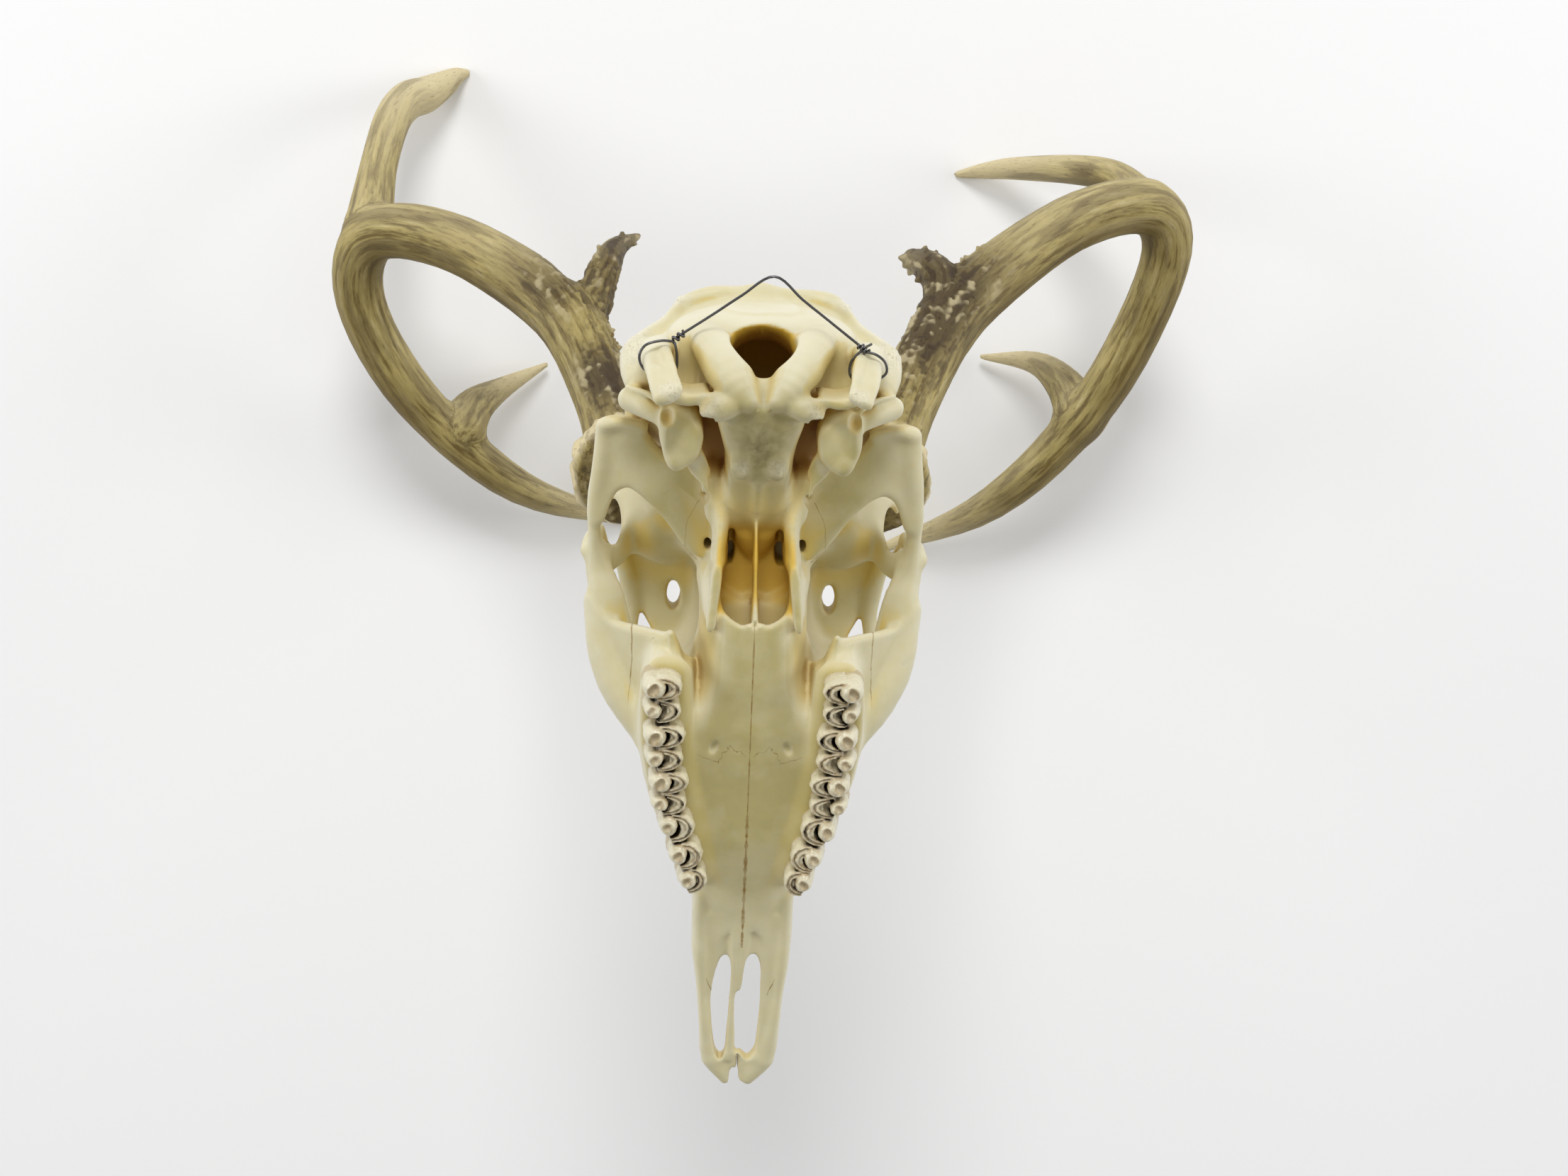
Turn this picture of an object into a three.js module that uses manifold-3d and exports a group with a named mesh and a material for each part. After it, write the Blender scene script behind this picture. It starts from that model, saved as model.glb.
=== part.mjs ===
// White-tailed deer skull with its antlers, lying upside down on the antler tips.
// Millimetres, +Z up.  The skull is drawn in its own frame: x to the animal's right,
// y towards the back of the head, z towards the jaw side, zero at the rear edge of
// the bony palate.  One group then turns that frame to the resting pose.
import * as THREE from 'three';
import { mergeVertices } from 'three/addons/utils/BufferGeometryUtils.js';
import Module from 'manifold-3d';

const wasm = await Module();
wasm.setup();

// ---------------------------------------------------------------- driving dimensions
const REST_TILT = 16;            // degrees that the nose dips in the resting pose
const FLOOR_DROP = 300;          // palate edge to floor
const CENTRE = [3.2, 21.6];      // middle of the footprint, measured from the palate edge
const GAP = 0.3;                 // clear cut between neighbouring pieces

const FACE_CUT = 32;             // plane between braincase and face
const CHEEK_CUT = -67.3;         // plane between face and snout, in front of the first molar
const SNOUT_CUT = -117;          // plane between snout and incisive bones
const SNOUT_SPLIT = -0.3;        // gap between the two incisive bones
const NASAL_FLOOR = -33;         // the incisive bones lie on the jaw side of this
const ARCH_CUTS = [47, 12];      // rear and front ends of each cheek arch
const ARCH_INNER = 47.5;         // the cheek arch lies outside this
const ARCH_DEPTH = [-53, -20];   // and between these heights
const PEDICLE_CUT = -104;        // plane between pedicle and antler

const BONE = new THREE.MeshStandardMaterial({ color: 0xe6dfc4, roughness: 0.62, metalness: 0 });
const ANTLER = new THREE.MeshStandardMaterial({ color: 0xa08a5c, roughness: 0.7, metalness: 0 });
const STEEL = new THREE.MeshStandardMaterial({ color: 0x4a4c4c, roughness: 0.35, metalness: 1 });

const V = (x, y, z) => new THREE.Vector3(x, y, z);

// ---------------------------------------------------------------- closed forms
// A closed surface through rings of equal count, capped by a fan at each end.
function loft(rings) {
  const count = rings[0].length;
  const points = rings.flat();
  const faces = [];
  for (let i = 0; i + 1 < rings.length; i++) {
    for (let j = 0; j < count; j++) {
      const a = i * count + j;
      const b = i * count + (j + 1) % count;
      faces.push(a, b, b + count, a, b + count, a + count);
    }
  }
  const middle = (ring) => ring.reduce((sum, p) => sum.add(p), V(0, 0, 0)).divideScalar(count);
  const last = (rings.length - 1) * count;
  points.push(middle(rings[0]), middle(rings.at(-1)));
  for (let j = 0; j < count; j++) {
    const next = (j + 1) % count;
    faces.push(points.length - 2, next, j, points.length - 1, last + j, last + next);
  }
  return { points, faces };
}

// Six times the signed volume: negative when the faces point inwards.
function signedVolume({ points, faces }) {
  let sum = 0;
  for (let i = 0; i < faces.length; i += 3) {
    const [a, b, c] = [points[faces[i]], points[faces[i + 1]], points[faces[i + 2]]];
    sum += a.dot(b.clone().cross(c));
  }
  return sum;
}

function solid(shape) {
  const faces = shape.faces.slice();
  if (signedVolume(shape) < 0) {
    for (let i = 0; i < faces.length; i += 3) [faces[i], faces[i + 1]] = [faces[i + 1], faces[i]];
  }
  const vertProperties = new Float32Array(shape.points.flatMap((p) => [p.x, p.y, p.z]));
  return new wasm.Manifold(new wasm.Mesh({
    numProp: 3, vertProperties, triVerts: new Uint32Array(faces),
  }));
}

const power = (value, exponent) => Math.sign(value) * Math.abs(value) ** exponent;

// A body whose sections stand across y: [y, half width, top z, jaw-side z, squareness, taper].
// A taper above zero makes the jaw side the wider one.
function sections(stations, sides = 14) {
  return solid(loft(stations.map(([y, half, top, low, square = 2.4, taper = 0]) => {
    const middle = (top + low) / 2;
    const height = (low - top) / 2;
    return Array.from({ length: sides }, (_, i) => {
      const angle = (i + 0.5) / sides * 2 * Math.PI;
      const v = power(Math.sin(angle), 2 / square);
      return V(half * (1 + taper * v) * power(Math.cos(angle), 2 / square), y, middle + height * v);
    });
  })));
}

// A limb through stations [x, y, z, a, b]: a is its half width along `side`, b across it.
// Its sections stand across the line between neighbouring stations, or across `along`.
function limb(stations, side = [1, 0, 0], sides = 7, along = null) {
  const at = stations.map(([x, y, z]) => V(x, y, z));
  const chord = (i) => at[Math.min(i + 1, at.length - 1)].clone().sub(at[Math.max(i - 1, 0)]);
  const rings = stations.map(([, , , a, b = a], i) => {
    const ahead = (along ? along[i] : chord(i)).clone().normalize();
    const u = V(...side);
    u.addScaledVector(ahead, -u.dot(ahead)).normalize();
    const w = ahead.clone().cross(u);
    return Array.from({ length: sides }, (_, k) => {
      const angle = (k + 0.5) / sides * 2 * Math.PI;
      return at[i].clone().addScaledVector(u, a * Math.cos(angle)).addScaledVector(w, b * Math.sin(angle));
    });
  });
  return solid(loft(rings));
}

// An ellipsoid of three radii, turned by degrees about x, y and z.
function ball(centre, radii, turn = [0, 0, 0], detail = 10) {
  const geometry = new THREE.SphereGeometry(1, detail, Math.round(detail * 0.7));
  geometry.scale(...radii);
  const [rx, ry, rz] = turn.map(THREE.MathUtils.degToRad);
  geometry.applyMatrix4(new THREE.Matrix4().makeRotationFromEuler(new THREE.Euler(rx, ry, rz)));
  geometry.translate(...centre);
  return fromGeometry(geometry);
}

function fromGeometry(geometry) {
  geometry.deleteAttribute('normal');
  geometry.deleteAttribute('uv');
  const merged = mergeVertices(geometry, 1e-4);
  return new wasm.Manifold(new wasm.Mesh({
    numProp: 3,
    vertProperties: new Float32Array(merged.attributes.position.array),
    triVerts: new Uint32Array(merged.index.array),
  }));
}

// A box between two corners.
function block(low, high) {
  const size = high.map((value, i) => value - low[i]);
  const geometry = new THREE.BoxGeometry(...size);
  geometry.translate(...low.map((value, i) => value + size[i] / 2));
  return fromGeometry(geometry);
}

const join = (forms) => forms.reduce((sum, form) => sum.add(form));
const cut = (body, forms) => forms.reduce((rest, form) => rest.subtract(form), body);
const mirror = (stations, s) => stations.map(([x, ...rest]) => [s * x, ...rest]);

// ---------------------------------------------------------------- cranium
function cranialBody() {
  const braincase = sections([
    [97, 20, -70, -38, 2.6, 0.3], [93, 30, -76, -29, 3, 0.25], [80, 37, -84, -27, 2.5, 0.15],
    [60, 38, -90, -27, 2.3, 0], [40, 35, -92, -31, 2.3, -0.05], [22, 29, -92, -36, 2.3, -0.15],
    [6, 22, -90, -40, 2.3, -0.3],
  ], 12);
  const frontalRoof = sections([
    [34, 30, -92, -76, 2.6], [14, 46, -91, -79, 3], [2, 47, -90, -77, 3], [-12, 45, -87, -75, 3],
    [-26, 40, -82, -68, 2.8], [-40, 31, -76, -58, 2.6], [-56, 20, -69, -52, 2.4],
  ], 10);
  const orbitCore = sections([
    [20, 19, -88, -27, 2.6, -0.35], [2, 20, -88, -9, 2.8, -0.35], [-22, 21, -82, -2, 3, -0.25],
    [-36, 27, -76, -1, 3, 0],
  ], 8);
  const upperJaw = sections([
    [-24, 18, -80, -2, 3, -0.2], [-34, 31, -77, -1, 3, 0.02], [-48, 34, -70, 0, 2.8, 0.2],
    [-64, 31, -63, 0, 2.8, 0.24], [-80, 26, -57, 0, 2.8, 0.28], [-96, 19.5, -51, -1.5, 2.6, 0.22],
    [-112, 17, -46, -4, 2.4, 0.12], [-128, 16, -36, -6, 2.4, 0.1],
  ], 10);
  const nasals = sections([
    [-56, 17, -68, -52], [-90, 14, -56, -46], [-115, 12, -47.5, -40], [-130, 8.5, -42, -37.5],
    [-139, 3, -39, -36.5],
  ], 8);
  return join([braincase, frontalRoof, orbitCore, upperJaw, nasals]);
}

function skullBase() {
  const basioccipital = sections([
    [86, 12, -24, -9, 2.4], [76, 16, -22, -4, 2.6], [66, 15, -24, -9, 2.6], [54, 14, -30, -13, 2.6],
    [36, 11, -36, -22, 2.4], [16, 7, -44, -31, 2.2],
  ], 10);
  const vomer = limb([[0, 30, -26, 0.8, 2], [0, 14, -21, 1, 8], [0, -6, -14, 1.2, 11]], [1, 0, 0], 6);
  return join([basioccipital, vomer]);
}

// Everything that comes in pairs; s is -1 on the animal's left and 1 on its right.
function pairedForms(s) {
  const m = (stations) => mirror(stations, s);
  const [ball2, limb2] = [
    (c, r, t = [0, 0, 0], d = 7) => ball([s * c[0], c[1], c[2]], r, [t[0], s * t[1], s * t[2]], d),
    (stations, side = [1, 0, 0], sides = 7) => limb(m(stations), [s * side[0], side[1], side[2]], sides),
  ];
  const condyle = limb2([
    [21, 88, -33, 5, 4], [19, 87.5, -26, 8.8, 6.5], [14, 84.5, -17, 8.5, 6.5], [8.5, 78, -10, 6.5, 5],
    [6, 74, -9, 3.5, 3],
  ], [1, 0.3, 0], 8);
  const tubercle = ball2([14, 74, -9], [6.5, 5.5, 6]);
  const mastoid = limb2([[30, 93, -66, 4], [38, 88, -54, 5], [43, 83, -42, 5], [42, 78, -34, 4.5]]);
  const nuchalCrest = limb2([[0, 95, -70, 4], [20, 94, -69, 4.5], [31, 91, -64, 4]], [0, 0, 1]);
  const paroccipital = limb2([
    [34.5, 83, -34, 6.5, 5], [33.4, 84, -21, 4.8, 3.2], [31.5, 83, -8, 4.8, 3], [30, 80, 3.5, 3.4, 2.4],
  ], [1, -0.6, 0]);
  const bulla = limb2([
    [31, 70, -22, 6, 6], [28, 60, -20, 9, 8.5], [24, 50, -18, 7, 7], [19, 42, -18, 3, 3], [17.5, 33, -17, 1.2, 1.2],
  ], [1, 0.3, 0]);
  const earTube = limb2([[26, 63, -28, 6], [36, 68, -30, 5.5], [44, 72, -31, 5]], [0, 1, 0]);
  const cheekRoot = limb2([
    [14, 27, -37, 9, 4.5], [30, 42, -41, 13, 5.5], [44, 50, -43.5, 11, 4.5], [52.5, 52, -42, 8, 4],
  ], [0.35, 1, 0]);
  const cheekArch = limb2([
    [52, 56, -42, 3, 4], [54, 41, -41.5, 3, 4.5], [56, 22, -44.5, 2.4, 4.4], [56.5, 6, -44.5, 2.6, 5],
    [56, -8, -41, 3.4, 6], [54.5, -20, -39, 4, 7], [48.5, -32, -34, 5, 8], [41, -43, -28, 6, 10],
    [33, -55, -24, 5, 9],
  ], [1, 0, 0], 6);
  const jugalPlate = limb2([
    [30, -35, -12, 15, 4], [38, -31, -18, 16, 4], [46, -25, -28, 13, 3.6], [54, -18, -38, 10, 3.4],
  ], [0, 1, 0], 6);
  const orbitRim = limb2(Array.from({ length: 11 }, (_, i) => {
    const angle = (i - 1) / 10 * 2 * Math.PI * 0.78 + Math.PI * 0.98;
    const [across, down] = [Math.cos(angle), Math.sin(angle)];
    return [51 + 5 * across + 5 * down, -12 + 22 * across, -57 + 21 * down, 3, 2.6];
  }).filter(([, , z]) => z < -46), [1, 0, 0], 6);
  const lacrimal = ball2([33, -42, -46], [12, 13, 25], [0, 0, 12]);
  const jawTuber = limb2([
    [23, -9, -13, 5, 8], [28, -19, -12, 9, 11], [29, -52, -11, 11, 12], [26, -70, -10.5, 10.5, 11],
    [22, -88, -9, 7.5, 9], [18, -102, -9, 3, 6],
  ]);
  const pterygoid = limb2([
    [12.5, 42, -30, 1.6, 8], [12.5, 26, -26, 1.8, 13], [14, 10, -20, 2, 17], [15.5, -6, -12, 2.6, 12],
  ]);
  const pedicle = limb2([[30, 8, -72, 14, 13], [38, 11, -86, 14, 13.5], [43, 13.5, -97, 13, 13], [46, 15, -112, 12.5]]);
  return [condyle, tubercle, mastoid, nuchalCrest, paroccipital, bulla, earTube, cheekRoot, cheekArch,
    jugalPlate, orbitRim, lacrimal, jawTuber, pterygoid, pedicle, ...teeth(s)];
}

// Six cheek teeth: [y of the middle, x of the middle, half length, half width].
const TEETH = [
  [-23, 29.5, 8.4, 6.8], [-41, 29, 8.2, 7.2], [-59, 28, 8, 7],
  [-73.5, 25.8, 5.8, 6], [-84.5, 23.2, 5.6, 5.4], [-93.5, 20.6, 5.2, 4.2],
];

function teeth(s) {
  return TEETH.map(([y, x, long, wide]) => limb(
    [[s * x, y, -2, wide, long], [s * (x + 0.6), y, 9, wide * 0.85, long * 0.9]], [1, 0, 0], 6));
}

const orbit = (s) => ball([s * 47, -12, -55], [27, 22, 21], [0, 0, 0], 9);

// The small openings that come in pairs.
function pairedOpenings(s) {
  const supraorbital = limb(mirror([[27, -19, -70, 3, 4.2], [29.5, -19, -96, 3, 4.2]], s), [1, 0, 0], 6);
  const earGap = limb(mirror([[20, 72, -8, 2.4, 4], [19, 62, -16, 2.8, 9], [17, 48, -22, 2.2, 6]], s), [1, 0, 0], 6);
  const vacuity = ball([s * 23, -50, -68], [6, 11, 5], [0, s * 38, 0], 6);
  return [supraorbital, earGap, vacuity];
}

function midlineOpenings() {
  const foramen = limb([[0, 112, -25, 12.5, 12], [0, 92, -23, 12, 11.5], [0, 66, -38, 11, 10]], [1, 0, 0], 10);
  const choana = sections([
    [46, 8, -26, -6, 2.2], [30, 11, -29, 2, 2.2], [10, 12, -27, 4, 2.2], [-3, 12, -24, -3, 2.4],
    [-26, 9, -20, -7, 2.2],
  ], 8);
  const nose = sections([
    [-86, 7, -38, -16], [-106, 11, -40.5, -10], [-128, 12.4, -37.3, -3], [-150, 14, -34, 6],
  ], 8);
  return { foramen, choana, nose };
}

function cranium() {
  const { foramen, choana, nose } = midlineOpenings();
  const body = cut(cranialBody(), [choana, nose, orbit(-1), orbit(1)]);
  const whole = join([body, skullBase(), ...pairedForms(-1), ...pairedForms(1)]);
  return cut(whole, [foramen, nose, ...pairedOpenings(-1), ...pairedOpenings(1)]);
}

// The incisive bones: an outer bar each, with the palate bars between them.
function incisive(s) {
  const bar = limb(mirror([
    [14.5, -108, -16, 3.6, 9], [14.6, -128, -13, 3.6, 8], [13.8, -146, -11, 2.8, 5.5], [12, -162, -9.5, 3, 4],
    [8.4, -174, -8.5, 4, 3.2], [4.2, -182.5, -8, 2, 2],
  ], s));
  const foot = limb(mirror([[10, -174, -8.5, 3, 3], [3.6, -171, -8, 2.4, 2.6], [1.6, -170, -8, 1.2, 1.6]], s), [0, 1, 0]);
  return bar.add(foot);
}

// The bars of the palate that run forward between the openings: the left one whole,
// the right one short.
function palateBars() {
  return [
    limb([[-1.2, -108, -6.5, 2.4, 2], [-2.1, -128, -6.5, 1.9, 1.6], [-2.4, -173, -7, 1.3, 1.5]]),
    limb([[1.4, -108, -6.5, 2.4, 2], [1.9, -128, -6.5, 1.9, 1.5], [1.4, -142, -6.8, 1.3, 1.2]]),
  ];
}

// ---------------------------------------------------------------- antlers
// Each beam is a smooth curve through its bends, from the burr to the tip on the floor.
const BEAMS = {
  left: [[-46, 15, -116], [-58, 33, -152], [-79, 57.5, -193], [-123, 76.5, -232], [-163, 72, -252],
    [-171, 42, -259], [-148, -4, -262], [-102, -48, -269], [-47, -72.4, -291.3]],
  right: [[47, 15, -116], [61, 37, -150], [85, 69, -190], [132, 95, -229], [171, 95, -248],
    [177, 60, -253], [155, 4, -259], [115, -47, -266], [64.5, -81.3, -288.8]],
};
const BEAM_RADII = [15, 12.4, 13, 12.6, 11.8, 11.2, 10.8, 8, 1.8];
const BEAM_STEPS = 20;
const FORK_GAP = 0.001;          // share of the beam's length left open at each fork
const FORKS = { second: 0.5, third: 0.74 };       // share of the beam's length

// The tines: stations [x, y, z, radius], the first one inside the beam.
const TINES = {
  left: {
    brow_tine: [[-68, 52, -187, 9], [-61.8, 66.7, -211, 6.8], [-57.9, 72.2, -230, 4.8], [-49, 75.4, -243, 1.4]],
    second_tine: [[-166, 76, -258, 10], [-166, 90, -280, 8.2], [-162, 105, -309, 8.4], [-149, 115, -331, 8.4],
      [-139, 121, -341, 5], [-131.8, 125, -348, 1.5]],
    third_tine: [[-128, -20, -266, 11], [-123, -14, -281, 8.6], [-112, -9, -294, 5.2], [-93, -1, -307, 1.2]],
  },
  right: {
    brow_tine: [[77, 62, -184, 9], [72.2, 72.7, -203, 6.9], [65, 76.2, -217, 4.2]],
    second_tine: [[167, 99, -251, 9], [157, 103, -275, 6.9], [143, 101, -300, 6.4], [121, 97, -322, 5.2],
      [95.2, 88.7, -337.5, 1.5]],
    third_tine: [[150, -4, -263, 11], [145, 5, -279, 8.6], [133, 11, -296, 5.2], [110, 9.3, -309.5, 1.2]],
  },
};

function beamLength(side, from, to, grow = 0) {
  const curve = new THREE.CatmullRomCurve3(BEAMS[side].map((p) => V(...p)));
  const steps = Math.max(2, Math.round((to - from) * BEAM_STEPS));
  const shares = Array.from({ length: steps + 1 }, (_, i) => from + (to - from) * i / steps);
  const stations = shares.map((share) => {
    const at = share * (BEAM_RADII.length - 1);
    const low = Math.min(Math.floor(at), BEAM_RADII.length - 2);
    const radius = THREE.MathUtils.lerp(BEAM_RADII[low], BEAM_RADII[low + 1], at - low) + grow;
    return [...curve.getPoint(share).toArray(), radius];
  });
  return limb(stations, [0, 0, 1], 9, shares.map((share) => curve.getTangent(share)));
}

// The knobbly ring where the antler meets its pedicle.
function burr(side) {
  const s = side === 'left' ? -1 : 1;
  const rings = [[-104.2, 14.5], [-109, 18.5], [-114, 19.8], [-119, 18], [-123, 14]];
  return limb(rings.map(([z, r], i) => [s * (45 + 0.9 * i), 14.4 + 0.5 * i, z, r]), [1, 0, 0], 12);
}

function antlerPieces(side) {
  const { second, third } = FORKS;
  const pieces = {
    lower_beam: beamLength(side, 0, second).add(burr(side)).intersect(slab(2, -FAR, PEDICLE_CUT - GAP / 2)),
    middle_beam: beamLength(side, second + FORK_GAP, third),
    end_beam: beamLength(side, third + FORK_GAP, 1),
  };
  const room = beamLength(side, 0.05, 0.95, GAP);
  for (const [name, stations] of Object.entries(TINES[side])) {
    pieces[name] = limb(stations, [0, 1, 0]).subtract(room);
  }
  for (const name of ['end_beam', 'second_tine']) pieces[name] = pieces[name].subtract(belowFloor());
  return pieces;
}

// ---------------------------------------------------------------- hanging wire
const WIRE = 0.6;                // radius
const WIRE_APEX = [2.5, 112.4, -25];
const WIRE_KNOTS = { left: [-27.5, 92.5, -24.5], right: [31.5, 91, -23] };
const LOOP = { x: 33.6, y: 83.6, z: -21.5, along: 7.2, across: 5.6, turn: -31 };   // ring round the neck

// One open loop round the neck of the paroccipital process, its ends meeting at the knot.
function wireLoop(s, knot) {
  const turn = THREE.MathUtils.degToRad(LOOP.turn);
  const start = Math.atan2(knot[1] - LOOP.y, s * knot[0] - LOOP.x) - turn;
  const steps = 8;
  const ring = Array.from({ length: steps + 1 }, (_, i) => {
    const angle = start + (0.06 + 0.88 * i / steps) * 2 * Math.PI;
    const [u, v] = [LOOP.along * Math.cos(angle), LOOP.across * Math.sin(angle)];
    const [x, y] = [LOOP.x + u * Math.cos(turn) - v * Math.sin(turn), LOOP.y + u * Math.sin(turn) + v * Math.cos(turn)];
    return [s * x, y, LOOP.z, WIRE];
  });
  return limb([[...knot, WIRE], ...ring, [knot[0] + 0.8 * s, knot[1] - 0.6, knot[2], WIRE]], [0, 0, 1], 5);
}

function hangingWire() {
  const { left, right } = WIRE_KNOTS;
  const span = limb([left, WIRE_APEX, right].map((p) => [...p, WIRE]), [0, 0, 1], 5);
  const twists = [left, right].map((knot) => ball(knot, [1.7, 1.7, 1.4], [0, 0, 0], 5));
  return join([span, wireLoop(-1, left), wireLoop(1, right), ...twists]);
}

// ---------------------------------------------------------------- the nodes
const FAR = 600;
function slab(axis, low, high) {
  const [a, b] = [[-FAR, -FAR, -FAR], [FAR, FAR, FAR]];
  a[axis] = low;
  b[axis] = high;
  return block(a, b);
}

function skullPieces() {
  const bones = join([cranium(), incisive(-1), incisive(1), ...palateBars()]);
  const whole = bones.intersect(slab(2, PEDICLE_CUT + GAP / 2, FAR));
  const h = GAP / 2;
  const archBox = (s, grow) => block(
    [s < 0 ? -FAR : ARCH_INNER - grow, ARCH_CUTS[1] - grow, ARCH_DEPTH[0]],
    [s < 0 ? -ARCH_INNER + grow : FAR, ARCH_CUTS[0] + grow, ARCH_DEPTH[1]]);
  const incisiveBox = (low, high, grow) => block(
    [low - grow, -FAR, NASAL_FLOOR - grow], [high + grow, SNOUT_CUT + grow, FAR]);
  const noArches = cut(whole, [archBox(-1, h), archBox(1, h)]);
  return {
    braincase: noArches.intersect(slab(1, FACE_CUT + h, FAR)),
    face: noArches.intersect(slab(1, CHEEK_CUT + h, FACE_CUT - h)),
    snout: cut(noArches.intersect(slab(1, -FAR, CHEEK_CUT - h)), [incisiveBox(-FAR, FAR, h)]),
    incisive_bone_left: whole.intersect(incisiveBox(-FAR, SNOUT_SPLIT, -h)),
    incisive_bone_right: whole.intersect(incisiveBox(SNOUT_SPLIT, FAR, -h)),
    zygomatic_arch_left: whole.intersect(archBox(-1, -h)),
    zygomatic_arch_right: whole.intersect(archBox(1, -h)),
  };
}

// Everything below the floor plane, in the skull's frame.
function belowFloor() {
  const geometry = new THREE.BoxGeometry(FAR, FAR, 100);
  geometry.translate(0, 0, -50 - FLOOR_DROP);
  geometry.rotateX(-THREE.MathUtils.degToRad(REST_TILT));
  return fromGeometry(geometry);
}

const group = new THREE.Group();
const skull = new THREE.Group();
skull.rotation.x = THREE.MathUtils.degToRad(REST_TILT);
skull.position.set(-CENTRE[0], -CENTRE[1], FLOOR_DROP);
group.add(skull);

function addPiece(name, body, material) {
  const { numProp, vertProperties, triVerts } = body.getMesh();
  const geometry = new THREE.BufferGeometry();
  geometry.setAttribute('position', new THREE.BufferAttribute(vertProperties.slice(), numProp));
  geometry.setIndex(new THREE.BufferAttribute(triVerts.slice(), 1));
  const mesh = new THREE.Mesh(geometry, material);
  mesh.name = name;
  skull.add(mesh);
}

for (const [name, body] of Object.entries(skullPieces())) addPiece(name, body, BONE);
for (const side of ['left', 'right']) {
  for (const [name, body] of Object.entries(antlerPieces(side))) addPiece(`antler_${side}_${name}`, body, ANTLER);
}
addPiece('hanging_wire', hangingWire(), STEEL);

export default group;
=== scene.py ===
# %% [markdown]
# # A white-tailed deer skull, modelled from distance fields
# The specimen lies palate up on its antler tips, with a thin steel hanging wire.
# Bone has no flat sides and no seams, so boxes and lathes are the wrong tools.
# Here each bone is a recipe of simple solids, melted together as a field of
# distances on a fine grid, and the surface is then read out of that field.
# The first cell loads the measured solids that everything has to sit on.

# %% Load the frame
import math

import bpy
import numpy as np
from mathutils import Matrix, Vector


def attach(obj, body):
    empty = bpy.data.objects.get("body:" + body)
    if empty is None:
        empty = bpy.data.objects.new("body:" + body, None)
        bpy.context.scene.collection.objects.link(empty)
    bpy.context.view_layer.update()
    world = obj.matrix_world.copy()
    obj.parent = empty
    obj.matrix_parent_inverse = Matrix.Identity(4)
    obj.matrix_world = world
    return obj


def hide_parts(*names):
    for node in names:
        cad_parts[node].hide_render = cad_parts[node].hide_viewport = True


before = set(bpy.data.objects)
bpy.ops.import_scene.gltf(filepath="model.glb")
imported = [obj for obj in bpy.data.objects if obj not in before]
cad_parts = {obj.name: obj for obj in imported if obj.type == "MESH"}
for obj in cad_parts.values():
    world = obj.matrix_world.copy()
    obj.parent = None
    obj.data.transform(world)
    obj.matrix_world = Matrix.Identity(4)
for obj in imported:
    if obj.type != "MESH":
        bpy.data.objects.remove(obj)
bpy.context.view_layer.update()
MM = 0.001
print("frame nodes:", len(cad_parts))

# %% [markdown]
# ## The skull's own axes
# A skull is easiest to describe square to itself: x to the side, y towards the
# back of the head, z towards the teeth, with zero at the rear edge of the palate.
# The specimen is tilted, so two flat cuts of the solids are used to find that
# zero: the cut between braincase and face, and the one under the antler.

# %% Find the skull's frame from the solids
REST_TILT = math.radians(16)
FACE_CUT = 32.15                 # y of the cut between face and braincase, in mm
PEDICLE_CUT = -104.15            # z of the cut between pedicle and antler, in mm


def vertex_data(mesh, what):
    """The places ("co") or the normals ("normal") of all vertices, as rows of three."""
    numbers = np.zeros(len(mesh.vertices) * 3)
    mesh.vertices.foreach_get(what, numbers)
    return numbers.reshape(-1, 3)


def node_points(name):
    return vertex_data(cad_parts[name].data, "co") / MM


def tilt(points, angle=REST_TILT):
    """Turn points about the x axis, from the skull's axes to the frame's."""
    c, s = math.cos(angle), math.sin(angle)
    x, y, z = points[:, 0], points[:, 1], points[:, 2]
    return np.stack([x, y * c - z * s, y * s + z * c], 1)


def untilt(points):
    return tilt(points, -REST_TILT)


case = untilt(node_points("braincase"))
stem = untilt(node_points("antler_left_lower_beam"))
ZERO = np.array([
    (case[:, 0].min() + case[:, 0].max()) / 2,
    case[:, 1].min() - FACE_CUT,
    stem[:, 2].max() - PEDICLE_CUT,
])


def to_row(points):
    """Skull millimetres to metres in the frame's own axes."""
    return tilt(np.asarray(points, float) + ZERO) * MM


print("palate edge in the frame, mm:", np.round(to_row(np.zeros((1, 3)))[0] / MM, 2))

# %% [markdown]
# ## Floor, camera and light
# A specimen seen from above needs a pale floor that fades into the background,
# a large soft light and weak fill. Sun or spot lights would give hard shadows, so
# the lamps are discs. The camera is placed by the specimen's own axes, 22 degrees
# off the palate's normal, so that it keeps its view if the tilt is changed.

# %% Camera
CAMERA_AT = (-18.5, 271.1, 634.4)      # mm, in the skull's frame
CAMERA_PITCH, CAMERA_YAW, CAMERA_ROLL = (math.radians(a) for a in (22.0, 2.3, 2.6))
LENS_MM = 48.0
SENSOR_MM = 36.0

back = np.array([
    -math.sin(CAMERA_YAW),
    math.sin(CAMERA_PITCH) * math.cos(CAMERA_YAW),
    math.cos(CAMERA_PITCH) * math.cos(CAMERA_YAW),
])
up = np.array([0.0, 1.0, 0.0]) - back[1] * back
up /= np.linalg.norm(up)
right = np.cross(up, back)
roll_right = math.cos(CAMERA_ROLL) * right + math.sin(CAMERA_ROLL) * up
roll_up = math.cos(CAMERA_ROLL) * up - math.sin(CAMERA_ROLL) * right
turn = tilt(np.array([roll_right, roll_up, back]))

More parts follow.
